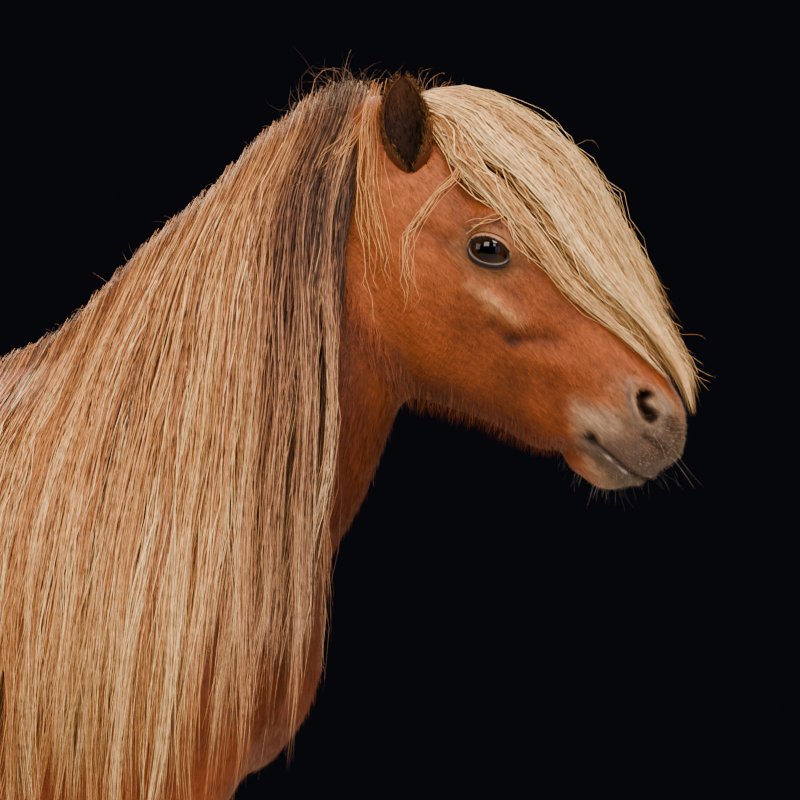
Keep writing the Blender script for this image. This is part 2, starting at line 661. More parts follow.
# Single hollows: the groove behind the chin, the corner of the mouth, the lips' front and the chest, each with
# where it is deepest, how wide it is and how deep
hollows = {"chin": (342, 13, 12), "corner": (352, 5, -72.5, 4, 5), "lips": (382, 34, 9), "chest": (694, 58, 15)}
eyeSlit = {"half": 18.5, "up": 12.6, "down": 10.2, "slant": math.radians(31), "centre": (3, -1)}
sockets = {"eye": 11, "ear": 22}  # how far the skin sinks under the lids and under the cup of an ear


# Offsets from the eye's middle in the plane of its slit: along it, and up across it
def toSlit(along, above):
    da, dh = along - eye["along"] - eyeSlit["centre"][0], above - eye["above"] - eyeSlit["centre"][1]
    c, s = math.cos(eyeSlit["slant"]), math.sin(eyeSlit["slant"])
    return da * c + dh * s, -da * s + dh * c


# Place in the oval over which the skin makes room for the cup of an ear: 1 on its edge
def earHole(p):
    return np.hypot((p[..., 0] - 447) / 17, (p[..., 2] - 1141) / 23) + 9 * (np.abs(p[..., 1]) < 30)


# Forms of the face and the body pressed into the skin: each corner moves by the sum of the folds, lips and rims
# along the field's slope, then by each hollow, and at last inwards at the nostril, the eye and the ear
def withForms(points):
    slopes = unit(fieldSlope(points)[1])
    along, above = toHead(points)
    headShare = ease((3 - (headDistance(points) - 6)) / 14) * ease((along + 6) / 24)
    _, _, _, headHalf, _ = readRows(headStations, along)
    flank = np.clip(1.3 * np.abs(points[:, 1]) / headHalf, 0, 1) ** 2
    press = ridges(along, above, faceFolds) * flank * headShare
    gap = mouthGap(along, above)
    lips = ease((along - mouth["back"] + 3) / 12) * headShare
    (upMiddle, upWide, upOut), (lowMiddle, lowWide, lowOut) = mouth["upper"], mouth["lower"]
    press += lips * (upOut * bell(gap - upMiddle, upWide) + lowOut * bell(gap - lowMiddle, lowWide))
    press -= lips * mouth["groove"] * bell(gap, mouth["slit"])
    ratio, long, _ = nostrilRatio(along, above)
    rim = nostril["rim"] * bell(ratio - 1.28, 0.24) * (0.7 - 0.45 * np.clip(long, -1, 1))
    press += rim * flank * headShare
    bodyShare = ease((np.abs(slopes[:, 1]) - 0.25) / 0.4) * (1 - headShare)
    press += ridges(points[:, 0], points[:, 2], bodyForms) * bodyShare
    points = points + slopes * press[:, None]
    middle, wide, deep = hollows["chin"]
    under = ease((-84 - above) / 18) * headShare
    points = points + slopes * (under * -deep * bell(along - middle, wide))[:, None]
    middle, long, level, high, deep = hollows["corner"]
    corner = deep * np.exp(-(((along - middle) / long) ** 2 + ((above - level) / high) ** 2)) * headShare
    points = points - slopes * corner[:, None]
    begins, span, deep = hollows["lips"]
    back = deep * ease((along - begins) / span) * ease((-22 - above) / 28) * headShare
    points = points - faceDown * back[:, None]
    middle, wide, deep = hollows["chest"]
    back = deep * bell(points[:, 2] - middle, wide) * ease((points[:, 0] - 280) / 60) * (1 - headShare)
    points = points - np.stack([back, 0 * back, 0 * back], -1)
    clear = 1 - 0.84 * nostrilFlap(along, above)
    hollow = nostril["depth"] * ease((1.04 - ratio) / 0.5) * clear * headShare * (flank > 0.3)
    inwards = np.stack([-0.42 * np.ones(len(points)), -np.sign(points[:, 1]), 0.1 * np.ones(len(points))], -1)
    points = points + inwards * (hollow * np.clip(np.abs(points[:, 1]) / 30, 0, 1))[:, None]
    slitLong, slitHigh = toSlit(along, above)
    high = np.where(slitHigh > 0, eyeSlit["up"], eyeSlit["down"])
    slitRatio = np.hypot(slitLong / eyeSlit["half"], slitHigh / high)
    sink = sockets["eye"] * ease((1.14 - slitRatio) / 0.3) * (np.abs(points[:, 1]) > 45) * (along > 100)
    points = points - np.stack([0 * sink, np.sign(points[:, 1]) * sink, 0 * sink], -1)
    sink = sockets["ear"] * ease((1.0 - earHole(points)) / 0.35)
    return points - np.stack([0 * sink, np.sign(points[:, 1]) * sink, 0.3 * sink], -1)


points = withForms(points)
work.vertices.foreach_set("co", points.astype(np.float32).ravel())
work.update()

# Markings shared by the skin and its coat
shades = {name: tone(value) for name, value in {
    "chestnut": "#7f3b18", "deep": "#431b09", "orange": "#934d24", "tan": "#a8703f", "muzzle": "#9c7a5b",
    "crest": "#c98f5e", "lip": "#b8957a", "dark": "#1d1310", "pale": "#cfc3b4", "grey": "#54443a",
    "rim": "#857163", "leg": "#8f5a34", "ember": "#9a4d1e", "belly": "#b06c3a", "lids": "#6b4a38",
    "crease": "#3a2214"}.items()}


# Slow unevenness: a third of the sum of six sines that cross each other, seldom past -1 or 1
def unevenness(p, length, seed):
    draw = np.random.default_rng(seed)
    ways = unit(draw.normal(size=(6, 3))) * (2 * np.pi / length) * draw.uniform(0.6, 1.6, (6, 1))
    return np.sin(p @ ways.T + draw.uniform(0, 6.28, 6)).sum(-1) / 3


# Where the muzzle's grey begins: heights over the face, and distances along it
muzzleEdge = ((-112, -90, -74, -62, -50, -35, -20, -9, 4, 16),
              (374, 346, 318, 310, 320, 330, 324, 324, 350, 394))


# Spots of the face's colours: the same rows as the head's forms, the last number being a share
spots = {
    "fold": [[222, -65, 243, -62, 8, 0.6], [243, -62, 268, -34, 7, 0.6], [198, -28, 226, -34, 8, 0.35],
             [116, -52, 158, -38, 9, 0.6], [296, -66, 318, -80, 10, 0.4]],
    "crest": [[186, -55, 206, -52, 7, 0.45], [206, -52, 232, -46, 8, 0.5]],
    "lid": [[150, -22, 160, 2, 5, 0.5], [160, 2, 184, 8, 5, 0.5], [196, -16, 206, -6, 6, 0.55],
            [170, -50, 192, -42, 6, 0.35]],
    "lip": [[324, -62, 338, -72, 10, 0.3], [342, -54, 356, -50, 12, 0.6], [364, -86, 376, -92, 8, 0.3]],
    "warmth": [[330, -38, 346, -32, 10, 0.5], [380, 14, 400, 4, 6, 0.7], [322, -48, 330, -44, 9, 0.4]],
    "crease": [[385, -33, 404, -30, 5, 0.9], [390, -6, 396, -11, 5, 0.8], [352, -88, 366, -84, 3, 0.3],
               [366, -76, 376, -88, 3, 0.3]]}
# Lighter and darker places of the face
patches = [
    [60, -30, 90, -60, 26, 0.06], [96, 4, 152, -14, 26, -0.26], [120, -84, 170, -120, 30, 0.14],
    [205, -84, 262, -92, 18, -0.26], [262, -84, 300, -100, 16, -0.16], [128, -10, 150, -18, 14, -0.2],
    [212, -22, 262, -8, 14, -0.2], [262, -52, 300, -44, 12, 0.2], [300, -28, 340, -16, 14, -0.14],
    [150, -140, 220, -150, 22, -0.24], [120, 16, 150, 14, 16, -0.12], [20, -120, 60, -180, 26, -0.2],
    [300, -96, 340, -100, 10, 0.18]]


# How much a place belongs to the head, by how far along and above the face it is
def headPart(along, above):
    return ease((along + 20) / 50) * ease((above + 210) / 30)


# Colour at places on the skin, in the pony's own frame, and how much of it is bare: chestnut, moved layer by
# layer towards another shade by that layer's share, and at last brightened or darkened
def markings(p):
    along, above = toHead(p)
    side, low = np.abs(p[..., 1]), p[..., 2]
    onHead = ease((along + 40) / 60) * ease((above + 215) / 40)
    offHead = 1 - onHead
    spot = {name: ridges(along, above, rows) for name, rows in spots.items()}
    crestTop = ease((24 - side) / 12) * ease((low - 900 - (p[..., 0] - 60) * 0.72) / 40) * (along < 12)
    slitLong, slitHigh = toSlit(along, above)
    lidRing = np.hypot(slitLong / (eyeSlit["half"] + 3), slitHigh / (eyeSlit["up"] + 3))
    byEye = side > 38
    lids = ease((1.75 - lidRing) / 0.6) * byEye * onHead
    edge = np.interp(above, muzzleEdge[0], muzzleEdge[1]) + 5 * unevenness(p, 60, 5) + 3 * unevenness(p, 17, 9)
    muzzle = ease((along - edge + 8) / 50) * onHead
    muzzleShade = mixed(shades["muzzle"], shades["grey"], ease((along - edge - 8) / 70))
    mottle = np.clip(0.5 + 0.9 * unevenness(p, 22, 15) + 0.5 * unevenness(p, 9, 16), 0, 1)
    ratio, long, _ = nostrilRatio(along, above)
    ringShare = muzzle * bell(ratio - 1.48, 0.28) * (0.75 - 0.3 * np.clip(long, -1, 1))
    gap = mouthGap(along, above)
    lips = ease((along - mouth["back"] + 8) / 10) * onHead
    wet = ease((along - 368) / 8) * ease((402 - along) / 10)
    wet = wet * np.clip(0.6 + 0.9 * unevenness(p, 7, 17), 0, 1)
    corner = np.exp(-(((along - 353) / 6) ** 2 + ((above + 72.5) / 5) ** 2)) * onHead
    halo = np.exp(-(((along - 352) / 12) ** 2 + ((above + 76) / 8) ** 2)) * onHead
    inner = ease((1.06 - ratio) / 0.3) * (side > 12) * onHead
    _, _, jaw, _, _ = readRows(headStations, along)
    under = ease((jaw + 44 - above) / 32) * ease((along - 130) / 60) * ease((366 - along) / 24)
    throat = ease((-140 - above) / 30) * ease((along - 40) / 90)
    layers = [
        ("belly", offHead * ease((580 - low) / 110) * (np.abs(p[..., 0]) < 400) * 0.7),
        ("leg", offHead * ease((420 - low) / 260) * 0.75),
        ("deep", offHead * ease((p[..., 0] - 150) / 160) * 0.4),
        ("orange", onHead * (0.5 + 0.35 * unevenness(p, 150, 3))),
        ("tan", onHead * ease((95 - along) / 80) * ease((-40 - above) / 40) * 0.7),
        ("deep", crestTop * ease((p[..., 0] - 40) / 60) * 0.8),
        ("deep", np.clip(spot["fold"], 0, 1) * onHead),
        ("crest", np.clip(spot["crest"] * (1 + 0.5 * unevenness(p, 14, 6)), 0, 1) * onHead),
        ("tan", ease((1.9 - lidRing) / 0.7) * 0.55 * byEye * onHead),
        ("lids", lids * 0.45),
        ("deep", np.clip(spot["lid"], 0, 1) * (side > 30) * onHead),
        ("dark", ease((1.02 - lidRing) / 0.12) * byEye * onHead),
        (muzzleShade, muzzle * 0.93),
        ("lip", np.clip(spot["lip"], 0, 1) * ease((along - edge + 14) / 26) * onHead),
        ("grey", muzzle * mottle * 0.35),
        ("orange", np.clip(spot["warmth"], 0, 1) * onHead),
        ("rim", ringShare),
        ("ember", muzzle * ease((-92 - above) / 10) * ease((398 - along) / 20) * 0.85),
        ("grey", lips * bell(gap + 8, 8) * 0.7),
        ("pale", lips * bell(gap + 3.4, 1.1) * wet * 0.7),
        ("dark", lips * bell(gap, 2.2) * 0.9),
        ("grey", halo * 0.6),
        ("dark", np.clip(corner * 1.3, 0, 1)),
        ("crease", np.clip(spot["crease"], 0, 1) * onHead * (side > 8)),
        ("dark", inner * (1 - 0.92 * nostrilFlap(along, above))),
        ("deep", np.maximum(under * 0.6, throat * 0.66) * ease((low - 620) / 120))]
    colour = np.broadcast_to(shades["chestnut"], p.shape)
    for shade, share in layers:
        colour = mixed(colour, shades[shade] if isinstance(shade, str) else shade, share)
    level = 1 + 0.11 * unevenness(p, 210, 7) + 0.12 * unevenness(p, 60, 8) * (1 - 0.5 * muzzle)
    level = level + ridges(along, above, patches) * onHead
    bare = np.maximum(ease((1.25 - lidRing) / 0.2) * byEye * onHead, np.maximum(inner, muzzle * 0.75))
    return colour * level[..., None], np.maximum(bare, lips * bell(gap, 5))


# The skin's own unwrap: each region rolled out round its length, in its own part of the square. Across is the
# angle round the region over 2 pi, along is the share of its length, and the nearest region is the one read
def skinUnwrap(p):
    along, above = toHead(p)
    step, _, height, _ = neckSection(p[..., 0], p[..., 2])
    turn = np.arctan2(p[..., 1], p[..., 2] - 690) / (2 * np.pi) + 0.5
    torsoMap = np.stack([0.02 + 0.60 * (p[..., 0] + 740) / 1120, 0.02 + 0.45 * turn], -1)
    headAngle = np.arctan2(p[..., 1], above + 60) / (2 * np.pi) + 0.5
    headMap = np.stack([0.02 + 0.44 * np.clip((along + 30) / 460, 0, 1), 0.52 + 0.46 * headAngle], -1)
    neckAngle = np.arctan2(p[..., 1], height) / (2 * np.pi) + 0.5
    neckMap = np.stack([0.50 + 0.13 * step / 10, 0.52 + 0.46 * neckAngle], -1)
    parts = np.stack([torsoDistance(p), headDistance(p), neckDistance(p)]
                     + [legDistance(p, hand, rows, stride) for _, hand, rows, stride in legs])
    maps = [torsoMap, headMap, neckMap]
    for row, (_, hand, stations, stride) in enumerate(legs):
        _, x, side, _, _ = readRows(stations, p[..., 2])
        ahead, out = p[..., 0] - x - legShift(stride, p[..., 2]), p[..., 1] - hand * side
        legAngle = np.arctan2(out, ahead) / (2 * np.pi) + 0.5
        legLong = np.clip(p[..., 2] / 840, 0, 1)
        maps.append(np.stack([0.67 + 0.31 * legLong, 0.01 + 0.25 * row + 0.22 * legAngle], -1))
    return np.take_along_axis(np.stack(maps), np.argmin(parts, 0)[None, ..., None], 0)[0]


# The way that the coat lies: down the face, down and back over cheek, neck and side, and down the legs, mixed by
# how much of each a place has, with a slow swirl
def coatLie(p):
    along, above = toHead(p)
    onHead = headPart(along, above)
    jowl = ease((-62 - above) / 60) * ease((300 - along) / 90)
    face = faceDown * (1 - 0.9 * jowl)[..., None] - faceUp * (0.22 + 0.9 * jowl)[..., None]
    onNeck = ease((p[..., 0] - 120) / 140) * ease((p[..., 2] - 600) / 120)
    onLeg = ease((600 - p[..., 2]) / 110) * (np.abs(p[..., 1]) > 30)
    body = mixed(np.array([-1.0, 0, -0.34]), np.array([-0.5, 0, -0.9]), onNeck)
    body = mixed(body, np.array([-0.08, 0, -1.0]), onLeg)
    lie = body * (1 - onHead)[..., None] + face * onHead[..., None]
    swirl = 0.35 * unevenness(p, 170, 12)
    return unit(lie + np.stack([swirl * 0.5, 0 * swirl, swirl], -1))


# Chestnut coat over skin, short and laid flat: soft sheen, streaks that follow the lie of the hair
coatMaterial, tree, surface = newMaterial(
    "horse hide, short coat laid flat", Roughness=0.55, Specular_IOR_Level=0.2, Sheen_Weight=0.06,
    Sheen_Roughness=0.4)
surface.inputs["Sheen Tint"].default_value = (*tone("#d98a4e"), 1)
# Metres: hair by hair and lock by lock
streak = {"wide": 0.0010, "long": 0.0080, "clumpWide": 0.0040, "clumpLong": 0.019}
headCos, headSin = math.cos(headTurn["angle"]), math.sin(headTurn["angle"])
lieWays = [(0.67 * headCos, -0.67 * headSin, -0.74), (-0.95, 0, -0.32), (-0.3, 0, -0.95)]  # head, body, legs
weights = addNode(tree, "ShaderNodeAttribute", {"attribute_name": "region"})
channels = addNode(tree, "ShaderNodeSeparateXYZ", links={"Vector": weights.outputs["Vector"]})
metres = metresOf(tree)
patterns = []  # fine and in clumps: the sum of the noise along each lie times how much of it a place has
for wide, long, detail in ((streak["wide"], streak["long"], 3), (streak["clumpWide"], streak["clumpLong"], 2)):
    total = None
    for channel, way in enumerate(lieWays):
        angles = Vector(way).to_track_quat("X", "Z").to_euler()
        place = addNode(tree, "ShaderNodeMapping", {"vector_type": "TEXTURE", "Rotation": angles,
                        "Scale": (long, wide, wide)}, {"Vector": metres})
        noise = grain(tree, place.outputs["Vector"], {"Scale": 1.0, "Detail": detail, "Roughness": 0.6})
        share = addNode(tree, "ShaderNodeMath", {"operation": "MULTIPLY"},
                        {0: noise, 1: channels.outputs[channel]}).outputs[0]
        total = share if total is None else addNode(
            tree, "ShaderNodeMath", {"operation": "ADD"}, {0: total, 1: share}).outputs[0]
    patterns.append(total)
finePattern, clumpPattern = patterns
shade = addNode(tree, "ShaderNodeMath", {"operation": "MULTIPLY"},
                {0: brightness(tree, finePattern, 0.66, 1.32), 1: brightness(tree, clumpPattern, 0.76, 1.22)})
paint(tree, surface, tintOf(tree), shade.outputs[0])
height = addNode(tree, "ShaderNodeMath", {"operation": "MULTIPLY_ADD", 1: 1.6},
                 {0: clumpPattern, 2: finePattern})
roughen(tree, surface, height.outputs[0], 0.55, 0.0007)


# How much of each lie a place has: the head's, the body's and the legs' and chest's
def coatRegion(p):
    along, above = toHead(p)
    onHead = headPart(along, above)
    onLegs = (1 - onHead) * np.maximum(ease((640 - p[..., 2]) / 100), ease((p[..., 0] - 150) / 120))
    return np.stack([onHead, 1 - onHead - onLegs, onLegs], -1)


skinTint, _ = markings(points)
skinCorners = [list(face.vertices) for face in work.polygons]
skinFaces = [np.array([corners for corners in skinCorners if len(corners) == count]) for count in (3, 4)]
skinFaces = [part for part in skinFaces if len(part)]
fleshNodes = ["torso", "head"] + [f"{name}_{part}" for name, *_ in legs for part in ("upper", "lower")]
newPiece("skin", points, skinFaces, coatMaterial, fleshNodes, skinTint,
         extra={"region": coatRegion(points)})
print("skin made")

# Eyes: a ball that bulges at the cornea, coloured by the distance from the way that it looks
eyeBall = {"rings": 34, "round": 56, "bulge": 1.2, "dome": 0.55, "iris": 21.0, "pupil": (9.5, 6.0),
           "look": (0.12, -0.06)}
# Living eye, a wet clear cornea over a dark iris: nearly black, with a mirror-like highlight
eyeMaterial, tree, surface = newMaterial(
    "horse eye, wet cornea over a dark iris", Roughness=0.03, IOR=1.376, Specular_IOR_Level=0.4)
place = addNode(tree, "ShaderNodeAttribute", {"attribute_name": "eyePlace"}).outputs["Vector"]
parts = addNode(tree, "ShaderNodeSeparateXYZ", links={"Vector": place})
fibres = grain(tree, place, {"Scale": 5.0, "Detail": 4.0}, (2.4, 2.4, 0.05))
ring = addNode(tree, "ShaderNodeMath", {"operation": "MULTIPLY_ADD", 1: 0.06}, {0: fibres, 2: parts.outputs[2]})
ramp = addNode(tree, "ShaderNodeValToRGB", links={"Fac": ring.outputs[0]})
eyeShades = ((0.0, "#030203"), (0.40, "#050304"), (0.46, "#1c0d07"), (0.66, "#331909"), (0.86, "#160a05"),
             (1.0, "#1c120d"))
for position, shade in eyeShades[1:-1]:
    ramp.color_ramp.elements.new(position)
for stop, (position, shade) in zip(ramp.color_ramp.elements, eyeShades):
    stop.position, stop.color = position, (*tone(shade), 1)
tree.links.new(ramp.outputs["Color"], surface.inputs["Base Color"])


# Rings by the angle from the way that the eye looks, each a circle round it; the cornea adds a low dome,
# bulge * exp(-(angle / dome)^4). The third number of a place is its level in the ramp: up to 0.36 over the
# pupil's oval and from there to 1 at the iris' edge and behind it
def makeEye(side, hand):
    rings, columns = eyeBall["rings"], eyeBall["round"]
    angle = np.linspace(0, np.pi, rings)[:, None]
    turn = np.linspace(0, 2 * np.pi, columns, endpoint=False)
    radius = eye["radius"] - 0.3 + eyeBall["bulge"] * np.exp(-((angle / eyeBall["dome"]) ** 4))
    look = unit(np.array([eyeBall["look"][0], hand, eyeBall["look"][1]]))
    flat = unit(np.cross(look, np.array([0, 0, 1.0])))
    upright = np.cross(flat, look)
    across, high = radius * np.sin(angle) * np.cos(turn), radius * np.sin(angle) * np.sin(turn)
    out = radius * np.cos(angle) * np.ones_like(turn)
    balls = across[..., None] * flat + high[..., None] * upright + out[..., None] * look
    c, s = math.cos(0.5 * eyeSlit["slant"]), math.sin(0.5 * eyeSlit["slant"]) * -hand
    pupilLong, pupilHigh = across * c - high * s, across * s + high * c
    pupil = np.hypot(pupilLong / eyeBall["pupil"][0], pupilHigh / eyeBall["pupil"][1])
    iris = np.hypot(across, high) / eyeBall["iris"]
    level = np.where(pupil < 1, 0.36 * pupil, 0.36 + 0.64 * np.clip((iris - 0.36) / 0.64, 0, 1) ** 0.8)
    level = np.where(out < 0, 1.0, np.clip(level, 0, 1))
    places = np.stack([across / 20, high / 20, level], -1).reshape(-1, 3)
    points = (eyeMiddle(hand) + balls).reshape(-1, 3)
    merged = newPiece("eye_ball_" + side, points, [ringFaces(rings, columns)], eyeMaterial,
                      ["eye_" + side], extra={"eyePlace": places})
    knit = bmesh.new()
    knit.from_mesh(merged.data)
    bmesh.ops.remove_doubles(knit, verts=knit.verts, dist=1e-6)
    bmesh.ops.recalc_face_normals(knit, faces=knit.faces)
    knit.to_mesh(merged.data)
    knit.free()


for side, hand in (("right", -1), ("left", 1)):
    makeEye(side, hand)

# Eyelids: rows round the slit, from under the lid over its wet edge and out to the skin. Offsets outwards
# from the slit's outline and heights over the ball, for the upper lid and for the lower one
lidRows = np.array([[-3.4, -0.5, -0.5], [-1.8, 0.1, 0.1], [-0.9, 0.4, 0.6], [-0.2, 0.8, 0.9], [0.5, 1.6, 0.8],
                    [1.4, 2.5, 1.0], [2.6, 2.9, 1.4], [3.9, 2.7, 1.7], [4.7, 1.9, 1.6], [5.6, 2.9, 1.8],
                    [6.8, 2.2, 0.9], [8.2, -1.0, -1.6]])
lidShades = np.array([[tone(value) for value in row] for row in (
    ("#1c1310", "#1c1310", "#120c0a", "#0e0a08", "#4a2c1c", "#9c6c4a",
     "#a0704c", "#83522f", "#1c0f08", "#6d4027", "#84491f", "#84491f"),
    ("#3a2622", "#4c3a34", "#7c6a60", "#52403a", "#1d1310", "#120c0a",
     "#1c120c", "#4a3324", "#7a5a3e", "#8a623c", "#84491f", "#84491f"))])
lidGrid = {"rows": 34, "round": 96}
# Lid skin, thin, bare and damp: dark edges, a paler bulge over the slit, and fine wrinkles
lidMaterial, tree, surface = newMaterial("horse eyelid, bare damp skin", Roughness=0.5, Specular_IOR_Level=0.3)
wrinkle = grain(tree, metresOf(tree), {"Scale": 620.0, "Detail": 3.0})
paint(tree, surface, tintOf(tree), brightness(tree, wrinkle, 0.75, 1.2))
roughen(tree, surface, wrinkle, 0.5, 0.0003)


# Place on the lid: the slit's outline, moved out by an offset, on a ball that is higher by a height
def lidPlace(angle, offset, height, hand):
    up = np.sin(angle) > 0
    high = np.where(up, eyeSlit["up"], eyeSlit["down"])
    pointed = np.sign(np.cos(angle)) * np.abs(np.cos(angle)) ** 0.9
    long, tall = eyeSlit["half"] * pointed, high * np.sin(angle)
    out = unit(np.stack([long / eyeSlit["half"] ** 2, tall / high**2], -1))
    spare = 1 - 0.35 * np.abs(np.cos(angle)) ** 3
    long, tall = long + out[..., 0] * offset * spare, tall + out[..., 1] * offset * spare
    c, s = math.cos(eyeSlit["slant"]), math.sin(eyeSlit["slant"])
    da = eyeSlit["centre"][0] + long * c - tall * s
    dh = eyeSlit["centre"][1] + long * s + tall * c
    ball = eye["radius"] + height
    depth = np.sqrt(np.maximum(ball**2 - da**2 - dh**2, 12))
    return fromHead(eye["along"] + da, eye["above"] + dh, hand * (eye["side"] + depth))


for side, hand in (("right", -1), ("left", 1)):
    angle = np.linspace(0, 2 * np.pi, lidGrid["round"], endpoint=False)
    upper = ease(0.5 + 1.2 * np.sin(angle))
    rowPlaces = np.linspace(0, len(lidRows) - 1, lidGrid["rows"])
    fineRows = readRows(np.column_stack([np.arange(len(lidRows)), lidRows]), rowPlaces)[1:]
    rows = [lidPlace(angle, offset, low + (high - low) * upper, hand) for offset, high, low in fineRows.T]
    below = np.floor(rowPlaces).astype(int).clip(0, len(lidRows) - 2)
    shadeRows = mixed(lidShades[:, below], lidShades[:, below + 1], rowPlaces - below)
    lidTint = shadeRows[1][:, None] * (1 - upper)[None, :, None] + shadeRows[0][:, None] * upper[None, :, None]
    coat, _ = markings(np.array(rows))
    lidTint = mixed(lidTint, coat, ease((fineRows[0] - 4.4) / 2.6)[:, None] * np.ones_like(angle))
    faces = ringFaces(lidGrid["rows"], lidGrid["round"])
    newPiece("eyelid_" + side, np.concatenate(rows), [faces if hand < 0 else faces[:, ::-1]], lidMaterial,
             tint=lidTint.reshape(-1, 3))
print("eyes made")

# Ears: a leaf-shaped cup, its section an open arc with an outer and an inner wall
earShape = {"x": 447, "z": 1122, "height": 82, "wall": 1.9, "turn": math.radians(8),
            "lean": {"right": -7, "left": 8}, "rows": 34, "arc": 25}
# Share of the height, half width, depth, degrees round the arc to each edge, distance from the middle plane
earStations = np.array([[-0.14, 6, 7, 170, 50], [-0.04, 9, 10, 164, 54], [0.06, 15, 12.5, 152, 58],
                        [0.16, 20, 14, 140, 61], [0.36, 23, 15, 124, 63],
                        [0.56, 22, 13, 114, 63], [0.73, 18.5, 10, 104, 62], [0.87, 12.5, 6.5, 97, 61],
                        [0.95, 7, 4, 92, 60], [1, 3, 2.6, 90, 60]])


# Place on an ear: share of its height, -1 to 1 round the arc, and how far inside the outer wall. It is the sine
# and the cosine of its angle on the arc times the half width and the depth there, turned outwards
def earPlace(side, hand, share, around, inset):
    _, half, depth, wrap, out = readRows(earStations, share)
    angle = np.radians(wrap) * around
    across, back = (half - inset) * np.sin(angle), (depth - inset) * np.cos(angle)
    c, s = math.cos(earShape["turn"]), math.sin(earShape["turn"])
    x = earShape["x"] + earShape["lean"][side] * share + across * c - back * s
    z = earShape["z"] + earShape["height"] * share
    return np.stack(np.broadcast_arrays(x, hand * (out - back * c - across * s), z), -1)


# Ear skin under short velvety hair: soft, with no gloss
earMaterial, tree, surface = newMaterial("horse ear, velvet-haired skin", Roughness=0.85, Specular_IOR_Level=0.2)
nap = grain(tree, metresOf(tree), {"Scale": 1.0, "Detail": 3.0}, (900.0, 900.0, 120.0))
paint(tree, surface, tintOf(tree), brightness(tree, nap, 0.6, 1.3))
roughen(tree, surface, nap, 0.6, 0.0006)
earShades = {"outside": tone("#5a2c12"), "inside": tone("#211108"), "edge": tone("#4d2811"),
             "tip": tone("#3a1d0c")}

for side, hand in (("right", -1), ("left", 1)):
    share = np.linspace(-0.14, 1, earShape["rows"])[:, None]
    arc = np.linspace(-1, 1, earShape["arc"])
    wall = np.minimum(earShape["wall"], readRows(earStations, share[:, 0])[2] * 0.6)[:, None]
    outer = earPlace(side, hand, share, arc, 0)
    inner = earPlace(side, hand, share, arc[::-1], wall)
    points = np.concatenate([outer, inner], 1)
    columns = points.shape[1]
    edge = bell(1 - np.abs(arc), 0.10)
    outside = mixed(earShades["outside"], earShades["edge"], edge * np.ones_like(share))
    inside = mixed(earShades["inside"], earShades["tip"], ease((share - 0.35) / 0.5) * np.ones_like(arc))
    inside = mixed(inside, earShades["edge"], edge[::-1] ** 2 * np.ones_like(share))
    tints = np.concatenate([outside, inside], 1).reshape(-1, 3)
    body = ringFaces(earShape["rows"], columns)
    middles = np.array([points[0].mean(0), points[-1].mean(0)])
    caps = [capFaces(0, columns, len(tints), True),
            capFaces((earShape["rows"] - 1) * columns, columns, len(tints) + 1, False)]
    faces = [body, np.concatenate(caps)]
    if hand > 0:
        faces = [part[:, ::-1] for part in faces]
    newPiece("ear_cup_" + side, np.concatenate([points.reshape(-1, 3), middles]), faces, earMaterial,
             ["ear_" + side], np.concatenate([tints, tints[:2]]))
print("ears made")

# Hooves: rings from the coronet down to the ground, with growth ridges, a bevelled sole and its frog
hoofShape = {"rise": 52, "reach": 13, "toe": 50, "width": 45, "slope": 0.3, "bevel": 1.5, "ridges": 9,
             "gap": 0.35, "round": 56, "rows": 22, "inset": 0.8, "power": 2.2, "frog": 2.4, "arch": 3.4}
# Horn, grown in bands and worn: dull, streaked from the coronet down, paler and chipped at the ground
hornMaterial, tree, surface = newMaterial("hoof horn, grown in bands", Roughness=0.48, Specular_IOR_Level=0.35)
place = addNode(tree, "ShaderNodeAttribute", {"attribute_name": "hornPlace"}).outputs["Vector"]
tubules = grain(tree, place, {"Scale": 3.0, "Detail": 4.0, "Roughness": 0.65}, (26.0, 1.0, 0.0))
bands = grain(tree, place, {"Scale": 1.0, "Detail": 2.0}, (0.7, 26.0, 0.0))
ramp = addNode(tree, "ShaderNodeValToRGB", links={"Fac": tubules})
ramp.color_ramp.elements[0].position, ramp.color_ramp.elements[0].color = 0.3, (*tone("#2f2620"), 1)
ramp.color_ramp.elements[1].position, ramp.color_ramp.elements[1].color = 0.72, (*tone("#8a7461"), 1)
paint(tree, surface, ramp.outputs["Color"], brightness(tree, bands, 0.72, 1.2))
height = addNode(tree, "ShaderNodeMath", {"operation": "ADD"}, {0: tubules, 1: bands})
roughen(tree, surface, height.outputs[0], 0.6, 0.0008)


